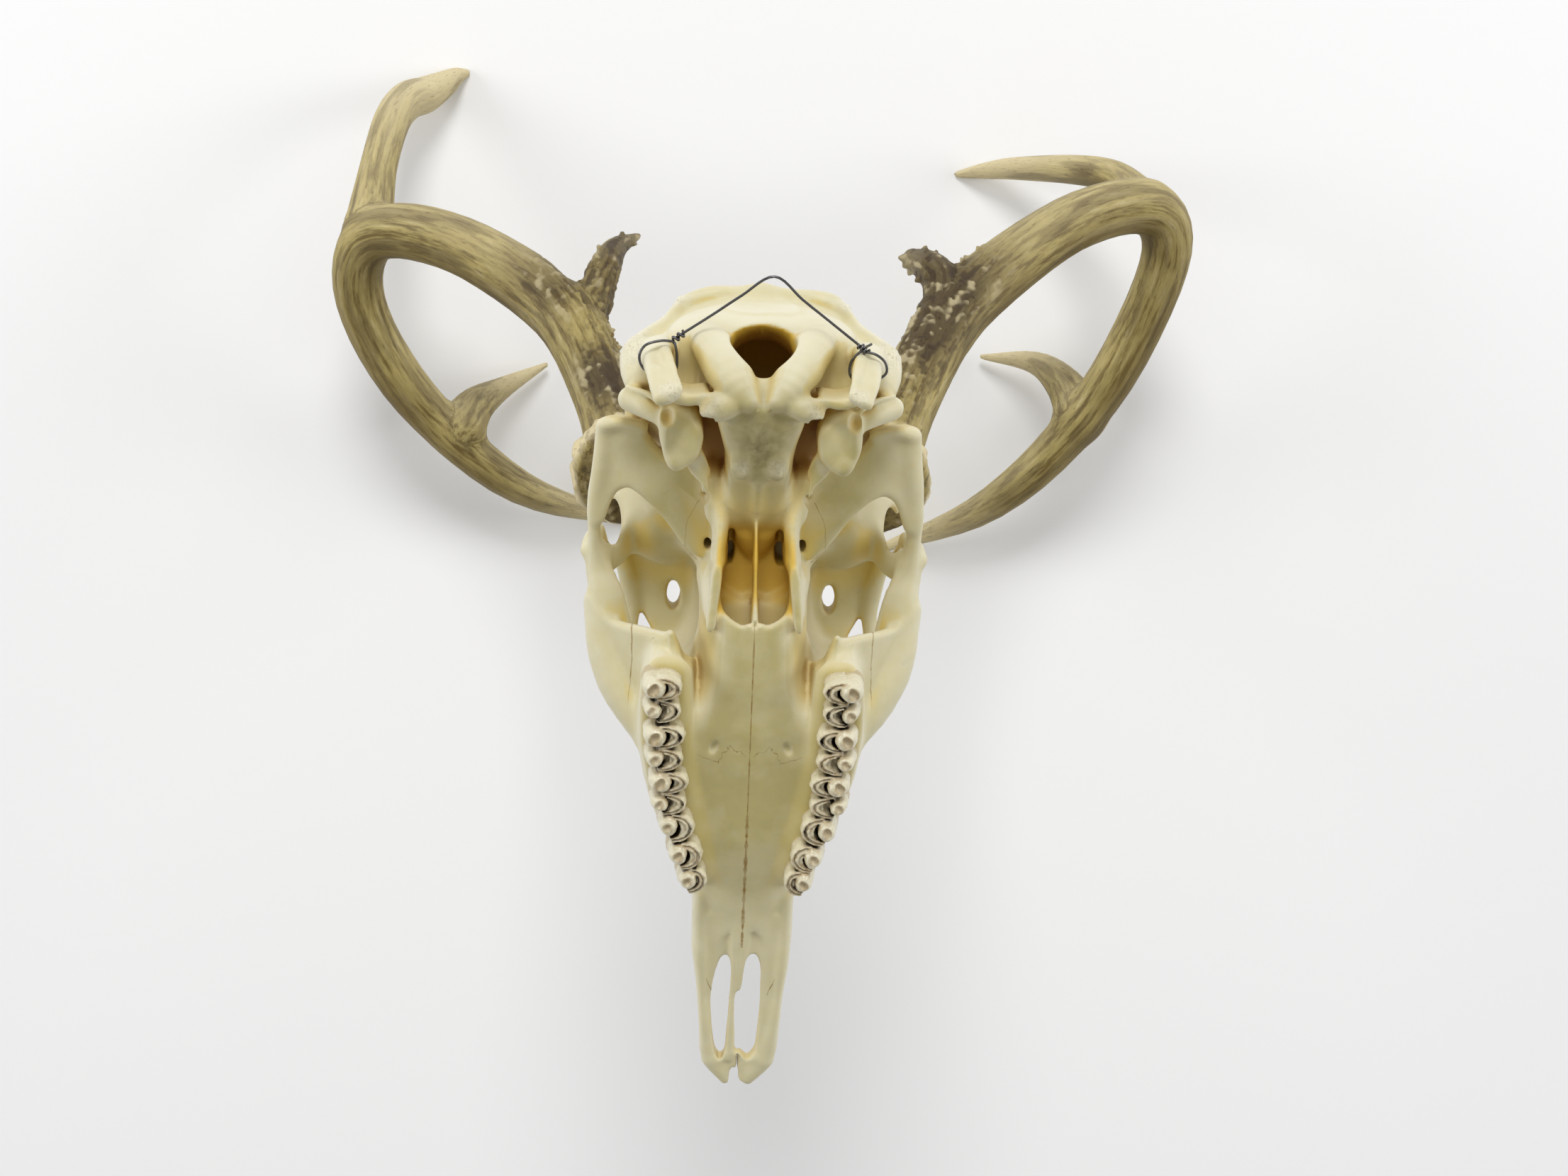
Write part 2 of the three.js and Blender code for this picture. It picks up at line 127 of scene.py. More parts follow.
camera_data = bpy.data.cameras.new("camera")
camera_data.lens = LENS_MM
camera_data.sensor_width = SENSOR_MM
camera = bpy.data.objects.new("camera", camera_data)
bpy.context.scene.collection.objects.link(camera)
camera.matrix_world = (
    Matrix.Translation(Vector(to_row([CAMERA_AT])[0])) @ Matrix(turn.T.tolist()).to_4x4()
)
bpy.context.scene.camera = camera
print("camera height, m:", round(camera.matrix_world.translation.z, 3))

# %% Floor and lights
FLOOR_SIZE = 8.0
FLOOR_DROP = 0.0002              # the floor lies this far below the antler tips
LIGHT_TARGET = Vector((0, 0, 0.2))
LIGHTS = [
    # name, place and size in metres, watts
    ("key", (-0.12, 1.7, 1.9), 1.0, 27),
    ("side", (1.6, 0.3, 0.9), 0.8, 8),
    ("other_side", (-1.6, 0.3, 0.9), 0.8, 8),
]
FILL_STRENGTH = 0.46


def plain_material(name, colour, roughness):
    material = bpy.data.materials.new(name)
    material.use_nodes = True
    shader = material.node_tree.nodes["Principled BSDF"]
    shader.inputs["Base Color"].default_value = (*colour, 1)
    shader.inputs["Roughness"].default_value = roughness
    return material


bpy.ops.mesh.primitive_plane_add(size=FLOOR_SIZE, location=(0, 0, -FLOOR_DROP))
floor = bpy.context.object
floor.name = "floor"
floor.data.materials.append(plain_material("floor_paint", (0.93, 0.93, 0.93), 0.9))


def disc_light(name, at, size, watts):
    data = bpy.data.lights.new(name, "AREA")
    data.shape = "DISK"
    data.size = size
    data.energy = watts
    light = bpy.data.objects.new(name, data)
    bpy.context.scene.collection.objects.link(light)
    light.location = at
    aim = LIGHT_TARGET - light.location
    light.rotation_euler = aim.to_track_quat("-Z", "Y").to_euler()


for light_row in LIGHTS:
    disc_light(*light_row)
world = bpy.data.worlds.new("studio")
bpy.context.scene.world = world
world.use_nodes = True
background = world.node_tree.nodes["Background"]
background.inputs["Color"].default_value = (1, 1, 1, 1)
background.inputs["Strength"].default_value = FILL_STRENGTH
bpy.context.scene.view_settings.view_transform = "Standard"
print("lights:", [name for name, *_ in LIGHTS])

# %% [markdown]
# ## A field of distances
# Each form answers one question: how far is this point from my surface, with
# minus meaning inside. Forms are joined by the smaller distance, and a smooth
# minimum melts the joint into a fillet, as bone does. Only the grid cells near a
# form are worked out, which keeps a fine grid quick.

# %% The grid
FAR = 30.0                       # distance given to a grid point that no form comes near
MARGIN = 3                       # mm round a form that are worked out besides its blend


class Field:
    """Distances on a regular grid, in skull millimetres."""

    def __init__(self, low, high, step):
        self.low = np.array(low, float)
        self.step = step
        self.axes = [np.arange(a, b + step, step) for a, b in zip(low, high)]
        self.values = np.full([len(a) for a in self.axes], FAR, np.float32)

    def window(self, low, high):
        """The part of the grid inside a box: its slices and its x, y and z."""
        slices = []
        for axis, a, b in zip(self.axes, low, high):
            first = int(np.searchsorted(axis, a))
            last = int(np.searchsorted(axis, b))
            slices.append(slice(first, max(last, first)))
        grids = np.ix_(*[axis[s] for axis, s in zip(self.axes, slices)])
        return tuple(slices), grids

    def melt(self, form, blend, sign):
        low, high, distance = form
        where, grids = self.window(low - blend - MARGIN, high + blend + MARGIN)
        old = sign * self.values[where]
        if old.size:
            self.values[where] = sign * smooth_min(old, distance(*grids).astype(np.float32), blend)

    def add(self, form, blend=2.0):
        """Join a form to what is there, with a fillet about blend wide."""
        self.melt(form, blend, 1)

    def cut(self, form, blend=1.0):
        """Take a form away from what is there, with its rim rounded by blend."""
        self.melt(form, blend, -1)

    def volume(self):
        """What is inside the surface, in cubic centimetres."""
        return round(float((self.values < 0).sum()) * self.step**3 / 1000, 1)

    def mirrored(self):
        """The same field on both sides of x = 0; the grid starts at x = 0."""
        whole = Field.__new__(Field)
        whole.step = self.step
        whole.axes = [np.concatenate([-self.axes[0][:0:-1], self.axes[0]])] + self.axes[1:]
        whole.low = np.array([axis[0] for axis in whole.axes])
        whole.values = np.concatenate([self.values[:0:-1], self.values], 0)
        return whole

    def sample(self, points):
        """Distances between the grid points, by weighting the eight neighbours."""
        cell = (points - self.low) / self.step
        top = np.array(self.values.shape) - 2
        base = np.clip(np.floor(cell).astype(int), 0, top)
        part = np.clip(cell - base, 0, 1)
        total = np.zeros(len(points))
        for corner in range(8):
            bits = np.array([corner & 1, corner >> 1 & 1, corner >> 2 & 1])
            weight = np.prod(np.where(bits, part, 1 - part), 1)
            ix, iy, iz = (base + bits).T
            total += weight * self.values[ix, iy, iz]
        return total

    def slope(self, points, reach=0.5):
        """The direction in which the distance grows: outwards from the surface."""
        grad = np.stack([
            self.sample(points + reach * step) - self.sample(points - reach * step)
            for step in np.eye(3)
        ], 1)
        return grad / np.maximum(np.linalg.norm(grad, axis=1, keepdims=True), 1e-9)


def smooth_min(a, b, blend):
    if blend <= 0:
        return np.minimum(a, b)
    h = np.clip(0.5 + 0.5 * (b - a) / blend, 0, 1)
    return b + (a - b) * h - blend * h * (1 - h)


print("a fillet between two faces 1 mm off, blend 2:", smooth_min(1.0, 1.0, 2.0))

# %% [markdown]
# ## Four kinds of form
# Most bones can be put together from four shapes. A limb follows a line of
# stations with an oval section, for arches, processes and bars. Sections stack
# rounded rectangles along the head, for the big bodies. A ball is an ellipsoid,
# for knobs and pits. All give a true distance near their surface, because the
# fillets between them are only even if the distances are.

# %% The forms
THINNEST = 0.35                  # no limb gets thinner than this half width, in mm
SECTION_SAMPLES = 200            # cross-sections worked out along one body
SECTION_SMOOTHING = 15           # how many of them are averaged, an odd number


def oval_distance(u, v, w, a, b, c):
    """Distance to an ellipsoid or oval tube of half sizes a, b and c."""
    k0 = np.sqrt((u / a) ** 2 + (v / b) ** 2 + (w / c) ** 2)
    k1 = np.sqrt((u / a**2) ** 2 + (v / b**2) ** 2 + (w / c**2) ** 2)
    return np.where(k0 < 1e-4, -np.minimum(a, b), k0 * (k0 - 1) / np.maximum(k1, 1e-9))


def smooth_stations(stations, parts):
    """Extra stations on a smooth curve through the given ones."""
    rows = [list(row) + [row[3]] if len(row) == 4 else list(row) for row in stations]
    rows = np.array(rows, float)
    if len(rows) < 3:
        parts = 1
    padded = np.vstack([2 * rows[0] - rows[1], rows, 2 * rows[-1] - rows[-2]])
    out = []
    for i in range(len(rows) - 1):
        p0, p1, p2, p3 = padded[i:i + 4]
        for t in np.arange(parts) / parts:
            out.append(0.5 * (
                2 * p1 + (p2 - p0) * t + (2 * p0 - 5 * p1 + 4 * p2 - p3) * t**2
                + (3 * p1 - p0 - 3 * p2 + p3) * t**3
            ))
    out.append(rows[-1])
    out = np.array(out)
    out[:, 3:] = np.maximum(out[:, 3:], THINNEST)
    return out


def limb(stations, side=(1, 0, 0), parts=3):
    """Stations are x, y, z, half width along side, and half width across it."""
    rows = smooth_stations(stations, parts)
    side = np.array(side, float)
    reach = rows[:, 3:].max(1)[:, None]
    low = (rows[:, :3] - reach).min(0)
    high = (rows[:, :3] + reach).max(0)

    def distance(x, y, z):
        best = None
        for first, last in zip(rows[:-1], rows[1:]):
            line = last[:3] - first[:3]
            length = np.linalg.norm(line)
            line = line / length
            u = side - side.dot(line) * line
            u /= np.linalg.norm(u)
            v = np.cross(line, u)
            dx, dy, dz = x - first[0], y - first[1], z - first[2]
            along = dx * line[0] + dy * line[1] + dz * line[2]
            share = np.clip(along / length, 0, 1)
            over = along - share * length
            a = first[3] + (last[3] - first[3]) * share
            b = first[4] + (last[4] - first[4]) * share
            across = dx * u[0] + dy * u[1] + dz * u[2]
            out = dx * v[0] + dy * v[1] + dz * v[2]
            piece = oval_distance(across, out, over, a, b, np.minimum(a, b))
            best = piece if best is None else np.minimum(best, piece)
        return best

    return low, high, distance


def sections(stations, end=5.0):
    """Stations are y, half width, top z, jaw-side z, squareness and taper."""
    rows = np.array([list(r) + [2.4, 0.0][len(r) - 4:] for r in stations], float)
    rows = rows[np.argsort(rows[:, 0])]
    fine = np.linspace(rows[0, 0], rows[-1, 0], SECTION_SAMPLES)
    table = np.array([np.interp(fine, rows[:, 0], column) for column in rows.T[1:]])
    kernel = np.hanning(SECTION_SMOOTHING)
    kernel /= kernel.sum()
    overlap = SECTION_SMOOTHING // 2
    padded = [np.pad(column, overlap, mode="reflect", reflect_type="odd") for column in table]
    table = np.array([np.convolve(column, kernel, "valid") for column in padded])
    half, top, low, square, taper = table
    wide = (half * (1 + np.abs(taper))).max()
    box_low = np.array([-wide, rows[0, 0], top.min()])
    box_high = np.array([wide, rows[-1, 0], low.max()])
    middle_y, half_y = (rows[0, 0] + rows[-1, 0]) / 2, (rows[-1, 0] - rows[0, 0]) / 2

    def distance(x, y, z):
        columns = (half, top, low, square, taper)
        h, t, l, n, k = (np.interp(y.ravel(), fine, c)[None, :, None] for c in columns)
        middle, height = (t + l) / 2, np.maximum((l - t) / 2, 0.5)
        v = (z - middle) / height
        width = np.maximum(h * (1 + k * np.clip(v, -1, 1)), 0.5)
        u = x / width
        r = (np.abs(u) ** n + np.abs(v) ** n) ** (1 / n)
        r = np.maximum(r, 1e-3)
        du = (np.abs(u) / r) ** (n - 1) / width
        dv = (np.abs(v) / r) ** (n - 1) / height
        inside = (r - 1) / np.maximum(np.sqrt(du**2 + dv**2), 1e-6)
        ends = np.abs(y - middle_y) - half_y
        return -smooth_min(-inside, -ends, end)

    return box_low, box_high, distance


def ball(centre, radii, turn=(0, 0, 0)):
    """An ellipsoid, turned by degrees about x, then y, then z."""
    spin = np.eye(3)
    for axis, angle in enumerate(turn):
        c, s = math.cos(math.radians(angle)), math.sin(math.radians(angle))
        i, j = [(1, 2), (2, 0), (0, 1)][axis]
        step = np.eye(3)
        step[i, i] = step[j, j] = c
        step[i, j], step[j, i] = -s, s
        spin = step @ spin
    centre = np.array(centre, float)
    reach = max(radii)
    inverse = spin.T

    def distance(x, y, z):
        dx, dy, dz = x - centre[0], y - centre[1], z - centre[2]
        u, v, w = (row[0] * dx + row[1] * dy + row[2] * dz for row in inverse)
        return oval_distance(u, v, w, *radii)

    return centre - reach, centre + reach, distance


# %% [markdown]
# ## The fourth form: a plate
# Palate, jaw-joint plate and cheekbone are thin plates, and what one knows them by
# is their outline from below. A slab is given by that outline, drawn with few
# points whose corners are then cut twice into soft curves. Extruding a curve
# object would give the same plate, but it couldn't melt into its neighbours.

# %% The plate form
def rounded(outline, rounds=2):
    """Cut the corners of a closed outline, so that it runs in soft curves."""
    points = np.array(outline, float)
    for _ in range(rounds):
        ahead = np.roll(points, -1, 0)
        pair = [0.8 * points + 0.2 * ahead, 0.2 * points + 0.8 * ahead]
        points = np.stack(pair, 1).reshape(-1, 2)
    return points


def slab(outline, z, half, slope=(0, 0), soft=1.5, rounds=2):
    """A plate by its outline in plan; z and slope set the height of its middle."""
    points = rounded(outline, rounds)
    middle = points.mean(0)
    tall = half + max(abs(slope[0]), abs(slope[1])) * np.ptp(points, 0).max() / 2

    def distance(x, y, zz):
        flat = x[:, :, 0], y[:, :, 0]
        best = np.full((x.shape[0], y.shape[1]), 1e9)
        inside = np.zeros(best.shape, bool)
        for (ax, ay), (bx, by) in zip(points, np.roll(points, -1, 0)):
            ex, ey = bx - ax, by - ay
            dx, dy = flat[0] - ax, flat[1] - ay
            share = np.clip((dx * ex + dy * ey) / max(ex * ex + ey * ey, 1e-9), 0, 1)
            best = np.minimum(best, (dx - share * ex) ** 2 + (dy - share * ey) ** 2)
            crosses = (ay > flat[1]) != (by > flat[1])
            at = ax + (flat[1] - ay) * ex / (ey if ey else 1e-9)
            inside ^= crosses & (flat[0] < at)
        edge = (np.sqrt(best) * np.where(inside, -1, 1))[:, :, None]
        level = z + slope[0] * (x - middle[0]) + slope[1] * (y - middle[1])
        return -smooth_min(-edge, -(np.abs(zz - level) - half), soft)

    low = np.array([*points.min(0), z - tall])
    high = np.array([*points.max(0), z + tall])
    return low, high, distance


# %% [markdown]
# ## From a field to a mesh
# A field can't be rendered, so its zero surface is turned into a mesh. Surface
# nets put one vertex in every grid cell that the surface passes through, at the
# middle of its crossings, and join neighbours into quads. Marching cubes would do
# too, but leave slivers. A few rounds of smoothing even the quads out, and each
# round steps back onto the true surface.

# %% Surface nets
CORNERS = np.array([[i & 1, i >> 1 & 1, i >> 2 & 1] for i in range(8)])
CELL_EDGES = [(a, b) for a in range(8) for b in range(a + 1, 8)
              if np.abs(CORNERS[a] - CORNERS[b]).sum() == 1]


def surface(field, rounds=2):
    """Vertices and quads of the zero surface of a field."""
    values = field.values
    inside = values < 0
    nx, ny, nz = values.shape
    count = np.zeros((nx - 1, ny - 1, nz - 1), np.int8)
    for i, j, k in CORNERS:
        count += inside[i:nx - 1 + i, j:ny - 1 + j, k:nz - 1 + k]
    cells = np.argwhere((count > 0) & (count < 8))
    number = np.full(count.shape, -1, np.int32)
    number[tuple(cells.T)] = np.arange(len(cells))
    corner_values = np.stack([values[tuple((cells + c).T)] for c in CORNERS], 1)
    total = np.zeros((len(cells), 3))
    hits = np.zeros(len(cells))
    for a, b in CELL_EDGES:
        va, vb = corner_values[:, a], corner_values[:, b]
        crossed = (va < 0) != (vb < 0)
        share = np.where(crossed, va / np.where(crossed, va - vb, 1), 0)
        point = CORNERS[a] + share[:, None] * (CORNERS[b] - CORNERS[a])
        total += point * crossed[:, None]
        hits += crossed
    points = field.low + (cells + total / hits[:, None]) * field.step
    quads = []
    for axis in range(3):
        u, v = (axis + 1) % 3, (axis + 2) % 3
        ahead = [slice(None)] * 3
        here = [slice(None)] * 3
        ahead[axis], here[axis] = slice(1, None), slice(None, -1)
        for first_in in (True, False):
            start, stop = inside[tuple(here)], inside[tuple(ahead)]
            edge = np.argwhere((start & ~stop) if first_in else (~start & stop))
            edge = edge[(edge[:, u] > 0) & (edge[:, v] > 0)]
            edge = edge[(edge[:, u] < values.shape[u] - 1) & (edge[:, v] < values.shape[v] - 1)]
            around = []
            for du, dv in ((-1, -1), (0, -1), (0, 0), (-1, 0)):
                cell = edge.copy()
                cell[:, u] += du
                cell[:, v] += dv
                around.append(number[tuple(cell.T)])
            quads.append(np.stack(around if first_in else around[::-1], 1))
    quads = np.concatenate(quads)
    pairs = np.concatenate([quads[:, [i, (i + 1) % 4]] for i in range(4)])
    weight = np.bincount(pairs[:, 0], minlength=len(points))[:, None]
    for _ in range(rounds):
        sums = [np.bincount(pairs[:, 0], points[pairs[:, 1], axis], len(points)) for axis in range(3)]
        points = 0.5 * points + 0.5 * np.stack(sums, 1) / weight
        for _ in range(2):
            off = np.clip(field.sample(points), -1, 1)[:, None]
            points = points - off * field.slope(points)
    return points, quads


print("edges of one grid cell:", len(CELL_EDGES))

# %% [markdown]
# ## Noise for what is never quite even
# Bone surface wanders, antler bark is ribbed and pearled. Bump in a material would
# leave the outline smooth, so a small lattice noise in numpy moves the vertices
# themselves. It is worked out from the place alone, so each run gives the same.

# %% Lattice noise
def noise(points, size, seed):
    """Smooth noise from about -1 to 1, with bumps about size millimetres apart."""
    cell = np.asarray(points, float) / size + 1000.5
    base = np.floor(cell).astype(np.int64)
    part = cell - base
    part = part * part * (3 - 2 * part)
    total = np.zeros(len(cell))
    for corner in CORNERS:
        key = (base + corner).astype(np.uint64)
        mixed = key[:, 0] * np.uint64(73856093) ^ key[:, 1] * np.uint64(19349663)
        mixed = (mixed ^ key[:, 2] * np.uint64(83492791)) + np.uint64(seed * 2654435761 % 2**32)
        mixed = (mixed ^ (mixed >> np.uint64(13))) * np.uint64(1274126177)
        mixed = (mixed ^ (mixed >> np.uint64(16))) & np.uint64(0xFFFFFF)
        level = mixed.astype(float) / 0x7FFFFF - 1
        total += level * np.prod(np.where(corner, part, 1 - part), 1)
    return total * 1.4


print("noise at one place:", round(float(noise([(1.0, 2.0, 3.0)], 7, 1)[0]), 4))

# %% [markdown]
# ## Making a piece
# A finished piece is thinned with the Decimate modifier, which keeps triangles
# where the form is busy and drops them on smooth stretches. The measured masks
# that the materials read, such as how deep a point lies in a hollow, are stored
# as attributes of the mesh, because they then travel with it.

# %% Piece helpers
def mesh_object(name, points_mm, faces):
    mesh = bpy.data.meshes.new(name)
    mesh.from_pydata([], [], [])
    faces = np.asarray(faces)
    points = to_row(points_mm)
    mesh.vertices.add(len(points))
    mesh.vertices.foreach_set("co", points.ravel())
    mesh.loops.add(faces.size)
    mesh.loops.foreach_set("vertex_index", faces.ravel().astype(np.int32))
    mesh.polygons.add(len(faces))
    starts = np.arange(0, faces.size, faces.shape[1], dtype=np.int32)
    mesh.polygons.foreach_set("loop_start", starts)
    mesh.update(calc_edges=True)
    mesh.validate()
    obj = bpy.data.objects.new(name, mesh)
    bpy.context.scene.collection.objects.link(obj)
    return obj


def triangle_count(obj):
    return sum(len(face.vertices) - 2 for face in obj.data.polygons)


def thin_out(obj, triangles):
    """Reduce a mesh to about the given number of triangles."""
    now = triangle_count(obj)
    if now <= triangles:
        return
    modifier = obj.modifiers.new("thin", "DECIMATE")
    modifier.ratio = triangles / now
    graph = bpy.context.evaluated_depsgraph_get()
    mesh = bpy.data.meshes.new_from_object(obj.evaluated_get(graph))
    obj.modifiers.clear()
    old = obj.data
    obj.data = mesh
    bpy.data.meshes.remove(old)


def skull_points(obj):
    return untilt(vertex_data(obj.data, "co") / MM) - ZERO


def skull_normals(obj):
    return untilt(vertex_data(obj.data, "normal"))


def store(obj, name, values):
    """Keep a number or a vector for each vertex, for the material to read."""
    values = np.asarray(values, np.float32)
    kind = "FLOAT" if values.ndim == 1 else "FLOAT_VECTOR"
    layer = obj.data.attributes.new(name, kind, "POINT")
    layer.data.foreach_set("value" if kind == "FLOAT" else "vector", values.ravel())


def finish_piece(obj, material, slot, *nodes):
    obj.data.materials.append(material)
    obj.data.polygons.foreach_set("use_smooth", np.ones(len(obj.data.polygons), bool))
    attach(obj, "root")
    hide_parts(*nodes)
    print(obj.name, "triangles:", triangle_count(obj))


def near(points, centre, radii):
    """1 at the centre of a soft spot, fading to 0 at its rim; both sides alike."""
    x = np.stack([np.abs(points[:, 0]), points[:, 1], points[:, 2]], 1)
    r = np.linalg.norm((x - np.array(centre)) / np.array(radii), axis=1)
    return np.clip(1.15 - r, 0, 1) * np.clip((1.6 - r) / 1.6, 0, 1)


print("a soft spot is", near(np.zeros((1, 3)), (0, 0, 0), (1, 1, 1))[0], "at its centre")

# %% [markdown]
# ## The cranium
# In life some thirty bones have grown into one. They are laid down here in the
# order a sculptor would: the brain and face masses, the hollows of orbit, palate
# and nose, then arches, processes and plates, and last the small openings.
# Only one half is worked out, because the skull is the same on both sides.
# The masses come first: brain case, forehead, the root of the palate, the upper
# jaws and the nasal bones, each a stack of sections from back to front.

# %% The masses of the head
GRID = 0.8
skull = Field((0, -190, -113), (66, 106, 16), GRID)

skull.add(sections([
    (95, 15, -69, -42, 2.4, 0.3), (91, 28, -74, -31, 2.8, 0.2), (84, 33, -80, -28, 2.6, 0.15),
    (72, 37, -86, -27, 2.5, 0.1), (60, 38, -90, -27, 2.3, 0), (40, 35, -92, -31, 2.3, -0.05),
    (22, 29, -92, -36, 2.3, -0.15), (6, 22, -90, -40, 2.3, -0.3),
]), 1)
skull.add(sections([
    (34, 30, -92, -76, 2.6), (14, 46, -91, -79, 3), (2, 47, -90, -77, 3), (-12, 45, -87, -75, 3),
    (-26, 40, -82, -68, 2.8), (-40, 31, -76, -58, 2.6), (-56, 20, -69, -52, 2.4),
]), 8)
skull.add(sections([
    (20, 19, -88, -27, 2.6, -0.35), (9, 20, -88, -14, 2.8, -0.3), (2, 20.4, -88, -2.4, 3.4, -0.2),
    (-8, 21, -85, -1.6, 3.4, -0.2), (-22, 22, -82, -1.2, 3.2, -0.2), (-40, 26, -76, -1, 3, 0),
    (-62, 22, -60, -6, 3, 0.1),
], 3), 5)
skull.add(sections([
    (-24, 18, -80, -8, 3, -0.2), (-34, 31, -77, -4, 3, 0.02), (-48, 34, -70, -1, 2.8, 0.2),
    (-64, 30, -63, -0.6, 2.8, 0.24), (-80, 24.4, -57, 0, 2.8, 0.28), (-96, 18.6, -51, -1.5, 2.6, 0.22),
    (-112, 17, -46, -4, 2.4, 0.12), (-128, 16, -36, -6, 2.4, 0.1),
]), 6)
skull.add(sections([
    (-56, 17, -68, -52), (-90, 14, -56, -46), (-115, 12, -47.5, -40), (-130, 8.5, -42, -37.5),
    (-139, 3, -39, -36.5),
]), 4)
print("masses of the head, ml in one half:", skull.volume())

# %% [markdown]
# ## The great hollows
# Orbits, the nose and the choana, the opening behind the palate where the nasal
# passages end, are what makes a skull read as one. They are cut before the arches
# are added, because the arches bridge them. The choana's front rim is drawn as an
# outline, because the palate ends there in two shallow bays and a small spine.

# %% Orbit, nose and choana
NOSE = sections([
    (-86, 7, -38, -16), (-106, 11, -40.5, -10), (-128, 12.4, -37.3, -3), (-150, 14, -34, 6),
])
CHOANA = slab([
    (-8, 27), (8, 27), (10.5, 16), (12.2, 5), (11.6, 3.4), (7.5, 0.6), (4, -0.8), (1.4, 0.6), (0, -1.6),
    (-1.4, 0.6), (-4, -0.8), (-7.5, 0.6), (-11.6, 3.4), (-12.2, 5), (-10.5, 16),
], -12, 20, (0, -0.16), 1.4, 2)
skull.cut(CHOANA, 1.4)
skull.cut(sections([
    (22, 9, -32, -8, 2.4), (8, 12, -30, -4, 3), (-2, 10.5, -24, -5, 2.6), (-16, 9, -20, -7, 2.2),
]), 1)
skull.cut(slab([(6.6, 18), (9.6, 18.4), (10.4, 9), (7.2, 10.5)], -36, 7, (0, 0), 1, 1), 1)
skull.cut(NOSE, 1.5)
skull.cut(ball((47, -13, -55), (27, 21, 21)), 4)
skull.cut(ball((36.5, -12, -50), (20.5, 20, 27)), 5)
print("after the hollows, ml:", skull.volume())

# %% [markdown]
# ## The base
# The basilar bone is the floor of the brain case, a bar that narrows forward into
# the sphenoid and carries the thin vomer. It is a stack of sections, because its
# width changes all the way, with a limb for the keel and one for each groove.

# %% Basilar bone, sphenoid and keel
skull.cut(limb([(0, 106, -12, 12.5, 13), (0, 88, -26, 12.5, 12.5), (0, 64, -46, 10, 10)]), 1)
skull.add(sections([
    (81, 12, -27, -13, 2.2), (74, 15.5, -26, -9, 2.6), (66, 14.4, -26, -9.5, 3), (54, 11.6, -30, -13, 3),
    (44, 11.4, -34, -17, 2.8), (34, 11.6, -38, -21.5, 2.6), (24, 9.6, -42, -26, 2.4),
    (16, 6, -44, -29, 2.2), (12.5, 4, -44, -30, 2.2),
]), 2.0)
skull.add(limb([
    (0, 72, -8.6, 2.2, 1.2), (0, 60, -12, 1.8, 1.2), (0, 46, -17, 1.5, 1.2), (0, 34, -22, 1.4, 1),
]), 3)
skull.cut(limb([(5, 42, -16, 2.2, 1.6), (4.6, 32, -21, 2.4, 1.6), (3.8, 24, -26, 2, 1.4)]), 3)
skull.add(ball((6.0, 51, -14.4), (4, 5, 1.6)), 3)
print("after the base, ml:", skull.volume())

# %% [markdown]
# ## Condyles and foramen
# The two condyles carry the skull on the neck, smooth rolls on either side of the
# foramen magnum. Each is one bent limb with an oval section. The foramen is cut
# through after them, so that its rim takes a share of both.

# %% Condyles, foramen and the bridge to the processes
skull.add(limb([
    (18.4, 86.4, -43, 5, 4), (17.8, 88, -37, 6.8, 5.4), (15.8, 87.4, -28, 7.8, 6.2),
    (12.6, 84.2, -19.6, 7.8, 6.8), (8.6, 79.6, -12.6, 6.6, 5.8), (5, 75.6, -8.8, 3.6, 3.4),
], (1, 0.35, 0)), 2.6)
skull.add(ball((13.4, 73.2, -9.6), (7.2, 4.8, 5.2), (0, 0, -20)), 1.4)
skull.cut(limb([(0, 108, -11, 11.4, 12.4), (0, 89, -26, 11, 12), (0, 64, -46, 9.8, 9.8)]), 0.6)
BRAIN_ROOM = ((0, 73, -47), (18, 14, 15))
skull.cut(ball(*BRAIN_ROOM), 0.6)
skull.cut(ball((26, 84.5, -15), (5.8, 7.5, 10)), 2.5)
skull.add(slab([
    (31.5, 80), (31, 75.2), (25, 73), (18.5, 74), (17, 77.4), (25, 76.6),
], -15, 7.4, (0.12, 0), 1.4, 1), 1.5)
print("after the condyles, ml:", skull.volume())

# %% [markdown]
# ## The back of the head
# A rough crest runs round the occiput where the neck muscles held, and a blade
# hangs from it on each side, the paracondylar process, which the wire is tied to.
# Both are limbs, flattened along the direction in which they were pulled.

# %% Crest and paracondylar processes
skull.add(limb([
    (0, 96, -70, 3.4), (9, 94.6, -70, 3), (17, 94.2, -69.5, 3.4), (25, 92, -68, 3.8),
    (29.6, 88, -67, 3.0), (33, 84.6, -64, 3), (40, 80.5, -60, 3.4), (43.4, 78, -54, 4.2),
    (43.4, 74, -47, 4.2), (41.6, 71, -41, 4.4),
], (0, 0, 1)), 5)
skull.add(ball((35.4, 76, -47), (8.2, 8.6, 13)), 4)
skull.add(ball((36, 57, -54), (10, 12, 8)), 3)
skull.add(limb([
    (35.5, 83.5, -34, 6.5, 5), (34.4, 84.6, -22, 5.2, 3.0), (32.2, 82.4, -10, 4.8, 2.7),
    (30.2, 79.2, -0.5, 4.6, 2.4),
], (1, -0.75, 0)), 2.5)
skull.add(limb([(37.5, 85, -24, 1.2), (36, 82, -10, 1.1), (33.5, 77.6, -0.5, 1.1)]), 1.5)
skull.cut(limb([(35.0, 88.6, -22, 1.8), (32.8, 86.0, -10, 1.9), (30.6, 82.6, 2, 1.9)]), 1.4)
print("after the back of the head, ml:", skull.volume())

# %% [markdown]
# ## Ear capsules
# The tympanic bone is an angular lump with a spike that points forward and a tube,
# the ear opening, that points out. A slab with soft edges gives the lump its
# corners, which a ball would lose, and limbs give it the spike and the tube.

